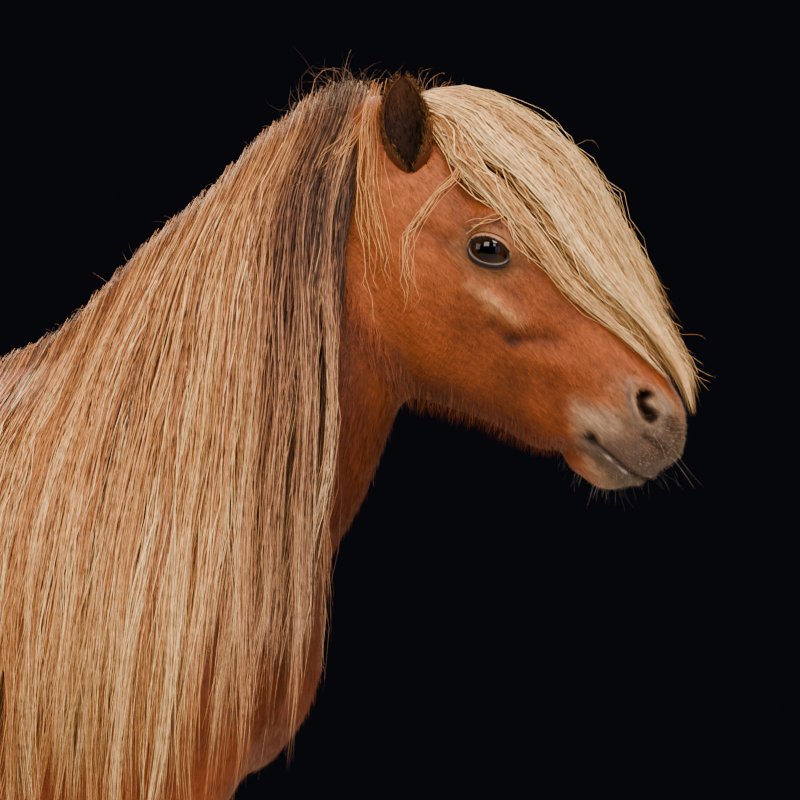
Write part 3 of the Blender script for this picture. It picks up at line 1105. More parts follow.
# Rings of a hoof from the coronet, share 1, to the ground, share 0: squarish ovals whose halves grow evenly from
# the leg's last station to toe and width, less the bevel, plus the growth ridges' sine; then the sole
def makeHoof(name, hand, stations, stride):
    x, side, long, wide = stations[-1, 1:]
    columns, bevel = hoofShape["round"], hoofShape["bevel"]
    share = np.concatenate([np.linspace(1, 0.05, hoofShape["rows"]), [0.02, 0.0]])[:, None]
    angle = np.linspace(0, 2 * np.pi, columns, endpoint=False)
    spread = 1 - share
    sole = bevel * ease((0.05 - share) / 0.05)
    growth = 0.5 * np.sin(share * 2 * np.pi * hoofShape["ridges"]) * (share > 0.08)
    growth = growth + 1.4 * bell(share - 0.95, 0.05)
    halfLong, halfWide = (half + bevel + (last - half - bevel) * spread - sole + growth - hoofShape["inset"]
                          for half, last in ((long, hoofShape["toe"]), (wide, hoofShape["width"])))
    c, s = np.cos(angle), np.sin(angle)
    heel = 1 - 0.10 * bell(np.abs(angle - np.pi), 0.28)
    power = 2 / hoofShape["power"]
    ahead = halfLong * np.sign(c) * np.abs(c) ** power * heel
    out = halfWide * np.sign(s) * np.abs(s) ** power
    shift = legShift(stride, share * hoofShape["rise"])
    z = share * (hoofShape["rise"] - hoofShape["gap"]) + ahead * hoofShape["slope"] * share
    forward = x + hoofShape["reach"] * spread + shift + ahead
    rings = np.stack(np.broadcast_arrays(forward, hand * side + out, z), -1)
    middle = np.array([x + hoofShape["reach"] + stride, hand * side, 0.0])
    inset = np.array([0.86, 0.8, 0.5])[:, None, None]
    lift = np.array([0.0, 3.0, 4.0])[:, None, None] * np.array([0, 0, 1])
    under = middle + (rings[-1] - middle) * inset + lift
    frog = bell(out[-1] * inset[..., 0], 8) * (ahead[-1] * inset[..., 0] < 8)
    under[..., 2] -= hoofShape["frog"] * frog * (np.arange(3)[:, None] > 0)
    points = np.concatenate([rings, under])
    rows = len(points)
    heights = np.append(share, [[0], [0], [0]], 0)
    places = np.stack(np.broadcast_arrays(angle / (2 * np.pi), heights, 0), -1).reshape(-1, 3)
    caps = [capFaces(0, columns, rows * columns, False),
            capFaces((rows - 1) * columns, columns, rows * columns + 1, True)]
    ends = np.array([points[0].mean(0), middle + [0, 0, hoofShape["arch"]]])
    hoof = name.replace("leg", "hoof")
    newPiece(hoof + "_horn", np.concatenate([points.reshape(-1, 3), ends]),
             [ringFaces(rows, columns)[:, ::-1], np.concatenate(caps)], hornMaterial, [hoof],
             extra={"hornPlace": np.concatenate([places, places[:2]])}, turn=False)


for name, hand, stations, stride in legs:
    makeHoof(name, hand, stations, stride)
print("hooves made")

# Horse hair, coarse, crimped and sun-bleached: each hair its own shade, with light and dark along its crimps
hairMaterial, tree, surface = newMaterial(
    "horse hair, flaxen and sun-bleached", Roughness=0.5, Specular_IOR_Level=0.22)
crimps = grain(tree, metresOf(tree), {"Scale": 150.0, "Detail": 4.0, "Roughness": 0.7, "Distortion": 0.6})
paint(tree, surface, tintOf(tree), brightness(tree, crimps, 0.58, 1.36))
flaxen = np.array([tone(value) for value in ("#321a0d", "#764125", "#b5723f", "#dfa25f", "#fed496")])

# How far out the flesh reaches beside the middle plane, on a lattice seen from the side
reachStep, reachLeft, reachLow = 5, -760, 0
gx, gz = np.meshgrid(np.arange(reachLeft, 741, reachStep), np.arange(reachLow, 1241, reachStep), indexing="ij")
power = flesh["roundness"]
_, top, bottom, half, wide = readRows(torsoStations, gx)
fleshReach = ovalSide(gz - wide, half, top - wide, wide - bottom, power, power) * (gx > -657) * (gx < 355)
step, depth, height, half = neckSection(gx, gz)
wide = flesh["neckWidest"]
neckReach = ovalSide(height, half, depth * wide, depth * (1 - wide), flesh["crest"], power)
fleshReach = np.maximum(fleshReach, neckReach * (step > 0.01) * (step < 9.99) * (gz > 590))
gAlong, gAbove = toHead(np.stack([gx, gx * 0, gz], -1))
_, top, jaw, half, wide = readRows(headStations, gAlong)
headReach = ovalSide(gAbove - wide, half, top - wide, wide - jaw, flesh["forehead"], flesh["jaw"])
fleshReach = np.maximum(fleshReach, headReach * (gAlong > -17) * (gAlong < 422))
for _, hand, stations, _ in legs[::2]:
    _, x, side, long, wide = readRows(stations, np.clip(gz, stations[-1, 0], stations[0, 0]))
    legReach = side + wide * np.clip(1 - np.clip(np.abs(gx - x) / long, 0, 1) ** power, 0, 1) ** (1 / power)
    fleshReach = np.maximum(fleshReach, legReach * (np.abs(gx - x) < long) * (gz < stations[0, 0]))
hangReach = fleshReach.copy()
for up in range(1, 14):  # hair keeps the distance out of what it has just passed
    hangReach[:, :-up] = np.maximum(hangReach[:, :-up], fleshReach[:, up:] - 1.2 * up)
for _ in range(3):
    padded = np.pad(hangReach, 2, mode="edge")
    hangReach = sum(padded[i:i + gx.shape[0], j:j + gx.shape[1]] for i in range(5) for j in range(5)) / 25


# Free hairs: each step turns from its first way towards another by a share that grows, with bends of its own:
# way * (1 - droop * part) + towards * droop * part + bend * part + bend * sin(part * pace)
def freeHairs(draw, roots, ways, lengths, steps, droop=0.3, curl=0.2, towards=(0, 0, -1)):
    part = np.linspace(0, 1, steps)[None, :, None]
    bends = draw.normal(0, curl, (2, len(roots), 1, 3))
    way = unit(ways[:, None] * (1 - droop * part) + np.array(towards) * droop * part + bends[0] * part
               + bends[1] * np.sin(part * draw.uniform(3, 7, (len(roots), 1, 1))))
    moves = way[:, :-1] * (lengths / (steps - 1))[:, None, None]
    return np.concatenate([roots[:, None], roots[:, None] + np.cumsum(moves, 1)], 1)


# One piece of hair from paths, widths, ways outwards, places in the unwrap and tints
def addHair(name, hair, material, slot, nodes=(), region=None, **more):
    points, faces, bakeMap, tints, normals = hairMesh(*hair, **more)
    extra = None if region is None else {"region": np.repeat(region, len(points) // len(region), axis=0)}
    return newPiece(name, points, faces, material, nodes, tints, bakeMap, normals, extra)


mane = {"sweepOver": 130, "lean": 0.08, "over": 62, "steps": 14, "width": (0.5, 1.0), "small": 12, "wild": 0.07,
        "neckSteps": 8.25, "frontTint": (1.27, 0.92, 0.72)}
# By the share along the crest: height of the hem, how far the hair sweeps back, and how high it stands off
# the crest as it leaves it
maneFall = np.array([[0, 590, 70, 4], [0.2, 536, 74, 6], [0.5, 520, 74, 8], [0.75, 526, 54, 10],
                     [0.93, 590, 26, 18], [1.05, 690, 18, 18]])


# Hair of the mane: it leaves the crest, sweeps back and hangs clear of the flesh. x falls back by
# sweep * (1 - exp(-drop / sweepOver)) + lean * drop, and y is the flesh's reach plus the hair's own stand-off
def manePlace(share, drop, off, hand, rootSide):
    _, rootX, rootZ, _, _, _ = readRows(neckStations, 1 + np.clip(share, -0.12, 1.06) * mane["neckSteps"])
    _, _, sweep, rise = readRows(maneFall, np.clip(share, 0, 1.05))
    x = rootX - sweep * (1 - np.exp(-np.maximum(drop, 0) / mane["sweepOver"])) - mane["lean"] * drop
    over, out = ease(drop / mane["over"]), ease(drop / 10)
    leaving = out * (1 - over)
    z = rootZ - drop + leaving * (off * 0.7 + rise * (0.35 + off / 40)) + off * 0.2 * over - 4 * (1 - out)
    out = readLattice(hangReach, x, z, reachLeft, reachLow, reachStep) + off
    return np.stack([x, hand * (out * over + hand * rootSide * (1 - over)), z], -1)


# Widths of hairs along them: width * (1 - 0.75 part^3), thinner at the root too where a share says so
def taperedWidths(draw, limits, part, count, atRoot=1.0):
    root = atRoot + (1 - atRoot) * ease(part * 8)
    return draw.uniform(*limits, (count, 1)) * (1 - 0.75 * part**3) * root


# Locks hold smaller locks, and those hold hairs: each hair runs from its own root towards its lock's middle, as
# its own difference shrinks by a share along it, and waves with its lock, with its small lock and by itself
def maneHair(seed, hand, count, lockCount, span, offs, reaches):
    draw = np.random.default_rng(seed)
    part = np.linspace(0, 1, mane["steps"])[None] ** 1.5
    locks = np.sort(draw.uniform(*span, lockCount)) * 0.35 + np.linspace(*span, lockCount) * 0.65
    lockOff, lockReach = draw.uniform(0, 1, lockCount), draw.uniform(*reaches, lockCount)
    lockTone = draw.normal(0, 1, lockCount)
    lockPhase = draw.uniform(0, 6.28, (lockCount, 3))
    mine = draw.integers(0, lockCount, count)
    smallCount = lockCount * mane["small"]
    small = mine * mane["small"] + draw.integers(0, mane["small"], count)
    smallShare, smallOff = draw.normal(0, 0.012, smallCount), draw.normal(0, 0.2, smallCount)
    smallTone, smallReach = draw.normal(0, 1, smallCount), draw.uniform(0.8, 1.06, smallCount)
    smallPhase = draw.uniform(0, 6.28, (smallCount, 2))[small]
    wild = (draw.random(count) < mane["wild"])[:, None]
    near, nearer = ease(part * 1.5), ease(part * 3.2)
    share = (locks[mine][:, None] + smallShare[small][:, None] * (1 - 0.80 * near**2)
             + draw.normal(0, 0.022, (count, 1)) * (1 - (0.70 - 0.4 * wild) * nearer))
    off = (lockOff[mine][:, None] + smallOff[small][:, None] * (1 - 0.6 * near)
           + draw.normal(0, 0.24, (count, 1)) * (1 - 0.8 * nearer))
    off = offs[0] + (offs[1] - offs[0]) * np.clip(off, 0, 1.25) + 7 * wild * part
    _, hem, _, _ = readRows(maneFall, np.clip(share, 0, 1.05))
    _, _, rootZ, _, _, _ = readRows(neckStations, 1 + np.clip(share, 0, 1.05) * mane["neckSteps"])
    reach = lockReach[mine] * smallReach[small] * np.clip(draw.normal(0.93, 0.07, count), 0.55, 1.04)
    drop = (rootZ - hem) * np.minimum(reach, 1.04)[:, None] * part
    paths = manePlace(share, drop, off, hand, draw.uniform(-15, 15, (count, 1)))
    phase = lockPhase[mine]
    free = ease(part * 5)
    wander = part * (9 * np.sin(drop / 150 + phase[:, :1]) + 5 * np.sin(drop / 63 + phase[:, 1:2]))
    smallWaves = 1.3 * np.sin(drop / 24 + smallPhase[:, :1]) + 0.8 * np.sin(drop / 15 + smallPhase[:, 1:])
    wander = wander + free * smallWaves
    paths[..., 0] += wander + crinkle(draw, drop, (74, 31, 17), 3.6) * free * (1 + 0.8 * wild)
    swing = hand * 3 * part * np.sin(drop / 80 + phase[:, 2:])
    paths[..., 1] += crinkle(draw, drop, (60, 26), 2.4) * free + swing
    outwards = unit(np.stack(np.broadcast_arrays(0.3 * np.sin(phase[:, :1] * 3), hand * free + 0.05 * hand,
                                                 1.05 - 0.8 * free), -1))
    outwards = unit(outwards + draw.normal(0, 0.32, (count, 1, 3)))
    widths = taperedWidths(draw, mane["width"], part, count, 0.7)
    level = (0.41 + 0.13 * lockTone[mine] + 0.14 * smallTone[small] + draw.normal(0, 0.15, count))[:, None]
    level = level - 0.26 * (0.5 - (off - offs[0]) / (offs[1] - offs[0]))
    level = level - 0.10 * (1 - ease(part * 3.0)) + 0.34 * part - 0.08
    level = level + 0.05 * np.sin(drop / 47 + phase[:, :1] * 2)
    front, withers = ease((share - 0.76) / 0.18), 1 - ease((share - 0.02) / 0.22)
    level = level - front * (0.27 + 0.24 * ease(part * 4) - 0.32 * part) - 0.10 * withers
    rootMap = np.stack([0.02 + 0.96 * np.clip((share[:, 0] - span[0]) / (span[1] - span[0]), 0, 1),
                        draw.uniform(0.02, 0.98, count)], -1)
    tints = shadeAt(flaxen, level)
    tints = mixed(tints, tints.mean(-1, keepdims=True) * np.array(mane["frontTint"]), 0.36 * front)
    return paths, widths, outwards, rootMap, tints


# Seed, hand, hairs, locks, span of the roots along the crest, stand-off and reach down to the hem
manePieces = [
    ("mane_right_back", 21, -1, 2440, 42, (-0.10, 0.37), (3, 31), (0.80, 1.04)),
    ("mane_right_middle", 22, -1, 2440, 40, (0.33, 0.71), (3, 32), (0.84, 1.04)),
    ("mane_right_front", 23, -1, 2440, 40, (0.67, 1.035), (3, 31), (0.80, 1.03)),
    ("mane_left", 24, 1, 1300, 50, (0.0, 1.0), (3, 22), (0.34, 0.66))]
for name, *rest in manePieces:
    addHair(name, maneHair(*rest), hairMaterial, "flaxen_hair", ["neck"])
print("mane made")

# Forelock: hair leaves the poll between the ears and lies over the forehead and down the nose
forelock = {"start": 4, "length": 396, "steps": 15, "brow": 7, "width": (0.55, 1.1), "small": 6, "wild": 0.10,
            "hairs": 2340, "locks": 42}
# Share of the length, half of the spread and how high the outermost hair stands off the face
forelockSpread = np.array([[0, 24, 4], [0.07, 38, 28], [0.15, 48, 40], [0.24, 64, 48], [0.43, 65, 52],
                           [0.6, 53, 45], [0.78, 31, 34], [1, 12, 18]])


# Place in the forelock: across it, down its length, and from its innermost hair to its outermost. The height is
# that of the skull's oval there plus 3 + rise * lift * (1 - 0.55 across^2)
def forelockPlace(across, share, lift):
    along = forelock["start"] + share * forelock["length"]
    _, top, _, half, wide = readRows(headStations, along)
    _, spread, rise = readRows(forelockSpread, share)
    side = spread * across
    brow = half + forelock["brow"]
    power = flesh["forehead"]
    skull = wide + ovalSide(np.minimum(np.abs(side), brow * 0.97), top - wide, brow, brow, power, power)
    stand = 3 + rise * lift * (1 - 0.55 * np.clip(across, -1, 1) ** 2)
    return along, skull + stand * ease(share * 22) - 7 * (1 - ease(share * 22)), side


# Hairs of the forelock, in locks and small locks like those of the mane
def forelockHair(seed, count, lockCount):
    draw = np.random.default_rng(seed)
    part = np.linspace(0, 1, forelock["steps"])[None] ** 1.1
    lockAcross = np.linspace(-0.96, 0.96, lockCount) + draw.normal(0, 0.03, lockCount)
    lockLift = draw.uniform(0.05, 1, lockCount)
    lockReach, lockTone = draw.uniform(0.74, 1.0, lockCount), draw.normal(0, 1, lockCount)
    phases = draw.uniform(0, 6.28, (lockCount, 3))
    mine = draw.integers(0, lockCount, count)
    small = mine * forelock["small"] + draw.integers(0, forelock["small"], count)
    smallCount = lockCount * forelock["small"]
    smallAcross, smallTone = draw.normal(0, 0.05, smallCount), draw.normal(0, 1, smallCount)
    smallPhase = draw.uniform(0, 6.28, (smallCount, 2))[small]
    wild = (draw.random(count) < forelock["wild"])[:, None]
    near = ease(part * 2.4)
    across = (lockAcross[mine][:, None] + smallAcross[small][:, None] * (1 - 0.7 * ease(part * 1.3))
              + draw.normal(0, 0.12, (count, 1)) * (1 - (0.80 - 0.5 * wild) * near))
    across = across / (1 + np.abs(across / 1.10) ** 8) ** 0.125
    reach = lockReach[mine] * np.clip(draw.normal(0.95, 0.05, count), 0.6, 1.02)
    share = part * np.minimum(reach, 1)[:, None]
    lift = np.clip(lockLift[mine][:, None] + draw.normal(0, 0.18, (count, 1)) * (1 - 0.6 * near), 0, 1.16)
    along, above, side = forelockPlace(across, share, lift)
    distance = share * forelock["length"]
    phase = phases[mine]
    free = ease(part * 5)
    side = side + part * (5 * np.sin(distance / 70 + phase[:, :1]) + 3 * np.sin(distance / 34 + phase[:, 1:2]))
    side = side + free * 0.9 * np.sin(distance / 20 + smallPhase[:, :1])
    side = side + crinkle(draw, distance, (120, 74), 4.4) * free * (1 + 1.2 * wild)
    above = above + crinkle(draw, distance, (90, 60), 2.6) * free * (1 + 1.8 * wild)
    paths = fromHead(along, above, side)
    outwards = unit(faceUp + np.stack([0 * across, 0.9 * across, 0 * across], -1))
    outwards = unit(outwards + draw.normal(0, 0.30, (count, 1, 3)))
    widths = taperedWidths(draw, forelock["width"], part, count, 0.7)
    level = (0.92 + 0.08 * lockTone[mine] + 0.10 * smallTone[small] + draw.normal(0, 0.13, count))[:, None]
    level = level - 0.12 * (1 - ease(part * 2.5)) - 0.20 * (1 - lift)
    level = level + 0.05 * np.sin(distance / 41 + phase[:, :1])
    rootMap = np.stack([0.5 + 0.44 * across[:, 0] / 1.1, 0.02 + 0.96 * np.clip(lift[:, 0] / 1.17, 0, 1)], -1)
    return paths, widths, outwards, rootMap, shadeAt(flaxen, level)


addHair("forelock", forelockHair(31, forelock["hairs"], forelock["locks"]), hairMaterial, "flaxen_hair",
        ["head"])
print("forelock made")

# Tail: hair leaves the dock all round and hangs to just above the ground. Share of the length, x, z, half width
# and half depth
tailStations = np.array([[0, -628, 862, 20, 20], [0.07, -668, 848, 36, 32], [0.15, -697, 798, 52, 40],
                         [0.26, -708, 722, 66, 44], [0.45, -710, 580, 82, 50], [0.68, -706, 386, 84, 50],
                         [0.88, -702, 202, 66, 40], [1, -700, 96, 42, 26]])
tail = {"steps": 15, "length": 830, "width": (0.9, 1.6), "small": 6, "rootSpan": 0.26, "hairs": 1560,
        "locks": 40}


# Place in the tail: share of its length, angle round it and distance out from its middle. It is the place on the
# middle line plus ring times the cosine of the angle sideways and its sine square to the line
def tailPlace(share, angle, ring):
    _, x, z, wide, deep = readRows(tailStations, share)
    _, aheadX, aheadZ, _, _ = readRows(tailStations, np.minimum(share + 0.02, 1))
    _, behindX, behindZ, _, _ = readRows(tailStations, np.maximum(share - 0.02, 0))
    way = unit(np.stack([aheadX - behindX, aheadZ - behindZ], -1))
    out = deep * ring * np.sin(angle)
    return np.stack([x + way[..., 1] * out, wide * ring * np.cos(angle), z - way[..., 0] * out], -1)


# Hairs of the tail, rooted along the dock, in locks and small locks like those of the mane
def tailHair(seed, count, lockCount):
    draw = np.random.default_rng(seed)
    part = np.linspace(0, 1, tail["steps"])[None]
    start = draw.uniform(0, tail["rootSpan"], (count, 1)) ** 1.2
    lockAngle, lockRing = np.linspace(0, 2 * np.pi, lockCount, endpoint=False), draw.uniform(0.45, 1, lockCount)
    lockReach, lockTone = draw.uniform(0.8, 1, lockCount), draw.normal(0, 1, lockCount)
    phases = draw.uniform(0, 6.28, (lockCount, 3))
    mine = draw.integers(0, lockCount, count)
    small = mine * tail["small"] + draw.integers(0, tail["small"], count)
    smallCount = lockCount * tail["small"]
    smallAngle, smallTone = draw.normal(0, 0.07, smallCount), draw.normal(0, 1, smallCount)
    near = ease(part * 1.8)
    angle = (lockAngle[mine][:, None] + smallAngle[small][:, None] * (1 - 0.6 * near)
             + draw.normal(0, 0.22, (count, 1)) * (1 - 0.85 * near))
    reach = (lockReach[mine] * np.clip(draw.normal(0.94, 0.06, count), 0.6, 1.03))[:, None]
    share = start + (np.minimum(reach, 1) - start) * part
    ring = np.clip(lockRing[mine][:, None] + draw.normal(0, 0.12, (count, 1)), 0.15, 1.04)
    rootRing = np.clip(0.95 - 1.4 * start, 0.5, 0.95)
    ring = rootRing + (ring - rootRing) * ease(part * 3.5)
    paths = tailPlace(share, angle, ring)
    distance = share * tail["length"]
    phase = phases[mine]
    sway = part * (6 * np.sin(distance / 130 + phase[:, :1]) + 3 * np.sin(distance / 60 + phase[:, 1:2]))
    paths[..., 1] += sway + crinkle(draw, distance, (80, 33, 18), 4) * part
    paths[..., 0] += np.abs(part * 3 * np.sin(distance / 110 + phase[:, 2:]))
    paths[..., 0] += crinkle(draw, distance, (70, 30), 3) * part
    outwards = unit(np.stack([-np.sin(angle), np.cos(angle), 0.2 * np.ones_like(angle)], -1))
    widths = taperedWidths(draw, tail["width"], part, count)
    level = (0.62 + 0.11 * lockTone[mine] + 0.08 * smallTone[small] + draw.normal(0, 0.05, count))[:, None]
    level = level - 0.12 * (1 - part) * (ring > 0.6) + 0.08 * part
    turn = (angle[:, 0] / (2 * np.pi)) % 1
    rootMap = np.stack([turn * 0.96 + 0.02, 0.02 + 0.96 * start[:, 0] / tail["rootSpan"]], -1)
    return paths, widths, outwards, rootMap, shadeAt(flaxen, level)


addHair("tail_hair", tailHair(41, tail["hairs"], tail["locks"]), hairMaterial, "flaxen_hair", ["tail"])
print("tail made")

# Short coat: tufts rooted in the skin and laid along the coat, each one straight blade with a ridge. Lengths and
# widths are in millimetres, a width being its first number plus its second times the length
faceCoat = {"seed": 51, "hairs": 44000, "length": 6.5, "onNeck": 4, "onMuzzle": -2.5, "width": (0.45, 0.05),
            "lift": 0.10}
bodyCoat = {"seed": 52, "hairs": 40000, "length": 13, "below": 7, "onLegs": -3, "width": (0.9, 0.04),
            "lift": 0.12}
coatRounding = 0.25
corners = triangles(work)
skinPoints = meshPoints(work)
edgeOne, edgeTwo = (skinPoints[corners[:, i]] - skinPoints[corners[:, 0]] for i in (1, 2))
faceNormals = np.cross(edgeOne, edgeTwo)
faceArea = np.linalg.norm(faceNormals, axis=1) / 2
skinNormals = unit(np.stack([
    sum(np.bincount(corners[:, i], faceNormals[:, j], len(skinPoints)) for i in range(3)) for j in range(3)], -1))


# Roots spread over the skin by area and by a density: a triangle is drawn by its share of the sum, and the place
# in it is the sum of its corners times three shares
def skinRoots(draw, density, count):
    weight = np.cumsum(faceArea * density[corners].mean(1))
    face = np.searchsorted(weight, draw.uniform(0, weight[-1], count))
    u, v = draw.random(count), draw.random(count)
    flip = u + v > 1
    u, v = np.where(flip, 1 - u, u), np.where(flip, 1 - v, v)
    shares = np.stack([1 - u - v, u, v], -1)[..., None]
    return (skinPoints[corners[face]] * shares).sum(1), unit((skinNormals[corners[face]] * shares).sum(1))


# Tufts from just under the skin: root + lie * length + normal * length * lift
def tufts(draw, roots, normals, lengths, widths, lifts):
    lie = coatLie(roots)
    lie = unit(lie - normals * (lie * normals).sum(-1, keepdims=True) + draw.normal(0, 0.14, roots.shape))
    tips = roots + lie * lengths[:, None] + normals * (lengths * lifts)[:, None]
    paths = np.stack([roots - normals * 0.35, tips], 1)
    colour, _ = markings(roots)
    colour = colour * np.exp(draw.normal(0, 0.07, (len(roots), 1)))
    tints = np.stack([colour, colour * 1.1], 1)
    return paths, widths[:, None] * np.ones((1, 2)), np.repeat(normals[:, None], 2, 1), skinUnwrap(roots), tints


# One piece of the coat from its settings, its density and its lengths at roots that are drawn here
def addCoat(name, settings, density, sizeAt, node):
    draw = np.random.default_rng(settings["seed"])
    roots, normals = skinRoots(draw, density, settings["hairs"])
    size, lift = sizeAt(roots)
    size = size * draw.uniform(0.75, 1.25, len(roots))
    lift = lift + draw.uniform(0, 0.10, len(roots))
    thin, thicker = settings["width"]
    addHair(name, tufts(draw, roots, normals, size, thin + thicker * size, lift), coatMaterial, "coat", [node],
            coatRegion(roots), rounding=coatRounding)


skinAlong, skinAbove = toHead(skinPoints)
_, bareness = markings(skinPoints)
_, _, skinJaw, _, _ = readRows(headStations, skinAlong)
faceShare = headPart(skinAlong, skinAbove)
throat = (1 - faceShare) * ease((skinPoints[:, 0] - 250) / 60) * (skinPoints[:, 2] > 560)
covered = (skinPoints[:, 1] < 0) & (skinPoints[:, 0] > -80) & (skinPoints[:, 0] < 300) & (skinPoints[:, 2] > 560)
slitLong, slitHigh = toSlit(skinAlong, skinAbove)
openEye = np.hypot(slitLong / (eyeSlit["half"] + 5), slitHigh / (eyeSlit["up"] + 5)) < 1
openEye = openEye & (np.abs(skinPoints[:, 1]) > 38)
holes = np.where(openEye | (earHole(skinPoints) < 1.1), 0.0, 1.0)


# Length and lift of the face's coat: longer on the neck, shorter on the muzzle
def faceSize(roots):
    along, above = toHead(roots)
    size = faceCoat["length"] + faceCoat["onNeck"] * ease((-above - 180) / 40)
    return size + faceCoat["onMuzzle"] * ease((along - 330) / 40), faceCoat["lift"]


# Length and lift of the body's coat: longer and looser under the belly, shorter on the legs
def bodySize(roots):
    low = ease((560 - roots[:, 2]) / 120) * (np.abs(roots[:, 0]) < 420)
    size = bodyCoat["length"] + bodyCoat["below"] * low
    return size + bodyCoat["onLegs"] * ease((420 - roots[:, 2]) / 80), bodyCoat["lift"] + 0.12 * low


density = (faceShare * (1 - 0.9 * np.clip(bareness, 0, 1)) + 0.6 * throat) * (skinAlong < 423) * holes
addCoat("coat_face", faceCoat, density, faceSize, "head")
density = (1 - faceShare) * (1 - 0.9 * covered) * (1 - 0.6 * throat) * (skinPoints[:, 2] > 46)
addCoat("coat_body", bodyCoat, density, bodySize, "torso")
print("coat made")

# Loose hair: jaw fringe, feather, whiskers, down, lashes, the ears' own hair, wisps and fly-aways. Width of each
# kind in millimetres, and how many hairs it has
fringe = {"seed": 61, "hairs": 2000, "width": 0.45}
feather = {"seed": 62, "hairs": 420, "width": 1.1, "clear": 5}
whiskers = {"seed": 63, "lips": 44, "chin": 50, "width": 0.24}
down = {"seed": 68, "hairs": 2200, "width": 0.3}
lashes = {"seed": 64, "hairs": 90, "width": 0.4}
earHairs = {"seed": 65, "inside": 900, "rim": 700, "outside": 900, "width": 0.5}
wispHairs = {"seed": 66, "steps": 14, "width": 0.42}
flyAways = {"seed": 67, "poll": 640, "crest": 300, "forelock": 260, "rising": 40, "steps": 8, "width": 0.22}
thinnest = 1e-9  # density where no hair is wanted, so that the sum never is nought


# What hairMesh takes for loose hairs: widths * (1 - 0.8 part^2), and tints that brighten from root to tip
def looseHair(draw, paths, width, outwards, roots, tints):
    count, steps = paths.shape[:2]
    part = np.linspace(0, 1, steps)
    widths = width * draw.uniform(0.7, 1.3, (count, 1)) * (1 - 0.8 * part[None] ** 2)
    outs = unit(np.broadcast_to(outwards[:, None], paths.shape))
    tints = np.repeat(tints[:, None], steps, 1) * (0.85 + 0.3 * part)[None, :, None]
    return paths, widths, outs, skinUnwrap(roots), tints


# Fringe: longer hair that hangs from the jaw's edge
draw = np.random.default_rng(fringe["seed"])
jawEdge = bell(skinAbove - skinJaw - 7, 9) * ease((skinAlong - 40) / 40) * ease((352 - skinAlong) / 20)
roots, normals = skinRoots(draw, jawEdge * faceShare + thinnest, fringe["hairs"])
rootAlong, _ = toHead(roots)
size = 12 + 4 * bell(rootAlong - 200, 70) - 5 * ease((rootAlong - 290) / 50)
size = size * draw.uniform(0.6, 1.35, len(roots))
ways = unit(normals * 0.55 - faceUp * 0.5 + faceDown * 0.55)
paths = freeHairs(draw, roots - normals * 0.5, ways, size, 4, 0.45, 0.22)
colour, _ = markings(roots)
addHair("jaw_fringe", looseHair(draw, paths, fringe["width"], normals, roots, colour * 1.1), coatMaterial,
        "coat", ["head"], coatRegion(roots))

# Feather: tufts of long hair behind each fetlock and round the coronet
draw = np.random.default_rng(feather["seed"])
featherRoots = []
for name, hand, stations, stride in legs:
    _, x, _, long, _ = readRows(stations, skinPoints[:, 2])
    behind = ease((x + legShift(stride, skinPoints[:, 2]) - skinPoints[:, 0]) / long + 0.35)
    mine = (skinPoints[:, 1] * hand > 0) & (np.sign(stations[0, 1]) == np.sign(skinPoints[:, 0] + 100))
    ring = bell(skinPoints[:, 2] - 128, 34) * behind + 0.7 * bell(skinPoints[:, 2] - 62, 12)
    featherRoots.append(skinRoots(draw, ring * mine + thinnest, feather["hairs"]))
roots, normals = (np.concatenate(part) for part in zip(*featherRoots))
size = np.clip((roots[:, 2] - 14) * 0.55, 16, 62) * draw.uniform(0.7, 1.15, len(roots))
paths = freeHairs(draw, roots - normals, unit(normals + np.array([-0.25, 0, -0.7])), size, 6, 0.85, 0.14)
paths[..., 2] = np.maximum(paths[..., 2], feather["clear"])
tints = shadeAt(flaxen, draw.normal(0.5, 0.14, len(roots)))
addHair("feather", looseHair(draw, paths, feather["width"], normals, roots, tints), hairMaterial, "flaxen_hair")

# Whiskers on the lips and the chin
draw = np.random.default_rng(whiskers["seed"])
nearMouth = faceShare * ease((skinAlong - 350) / 30) * (skinAbove < -20)
onChin = faceShare * ease((skinAlong - 330) / 20) * ease((-84 - skinAbove) / 8)
both = [skinRoots(draw, nearMouth + thinnest, whiskers["lips"]),
        skinRoots(draw, onChin + thinnest, whiskers["chin"])]
roots, normals = (np.concatenate(part) for part in zip(*both))
size = np.concatenate([draw.uniform(12, 40, whiskers["lips"]), draw.uniform(6, 18, whiskers["chin"])])
ways = unit(normals + faceDown * 0.35 + draw.normal(0, 0.12, roots.shape))
paths = freeHairs(draw, roots - normals, ways, size, 7, 0.25, 0.12)
tints = tone("#b8ab9c") * draw.uniform(0.3, 1, (len(roots), 1))
addHair("whiskers", looseHair(draw, paths, whiskers["width"], normals, roots, tints), hairMaterial,
        "flaxen_hair", ["head"])

# Down on the lips and the muzzle: very short pale hair that catches the light along the outline
draw = np.random.default_rng(down["seed"])
roots, normals = skinRoots(draw, faceShare * ease((skinAlong - 352) / 40) + thinnest, down["hairs"])
ways = unit(normals + faceDown * 0.5 + draw.normal(0, 0.2, roots.shape))
paths = freeHairs(draw, roots - normals * 0.3, ways, draw.uniform(2, 4, len(roots)), 3, 0.3, 0.1)
colour, _ = markings(roots)
tints = mixed(colour, tone("#cbb494"), 0.35 * np.ones(len(roots)))
addHair("muzzle_down", looseHair(draw, paths, down["width"], normals, roots, tints), hairMaterial, "coat",
        ["head"])

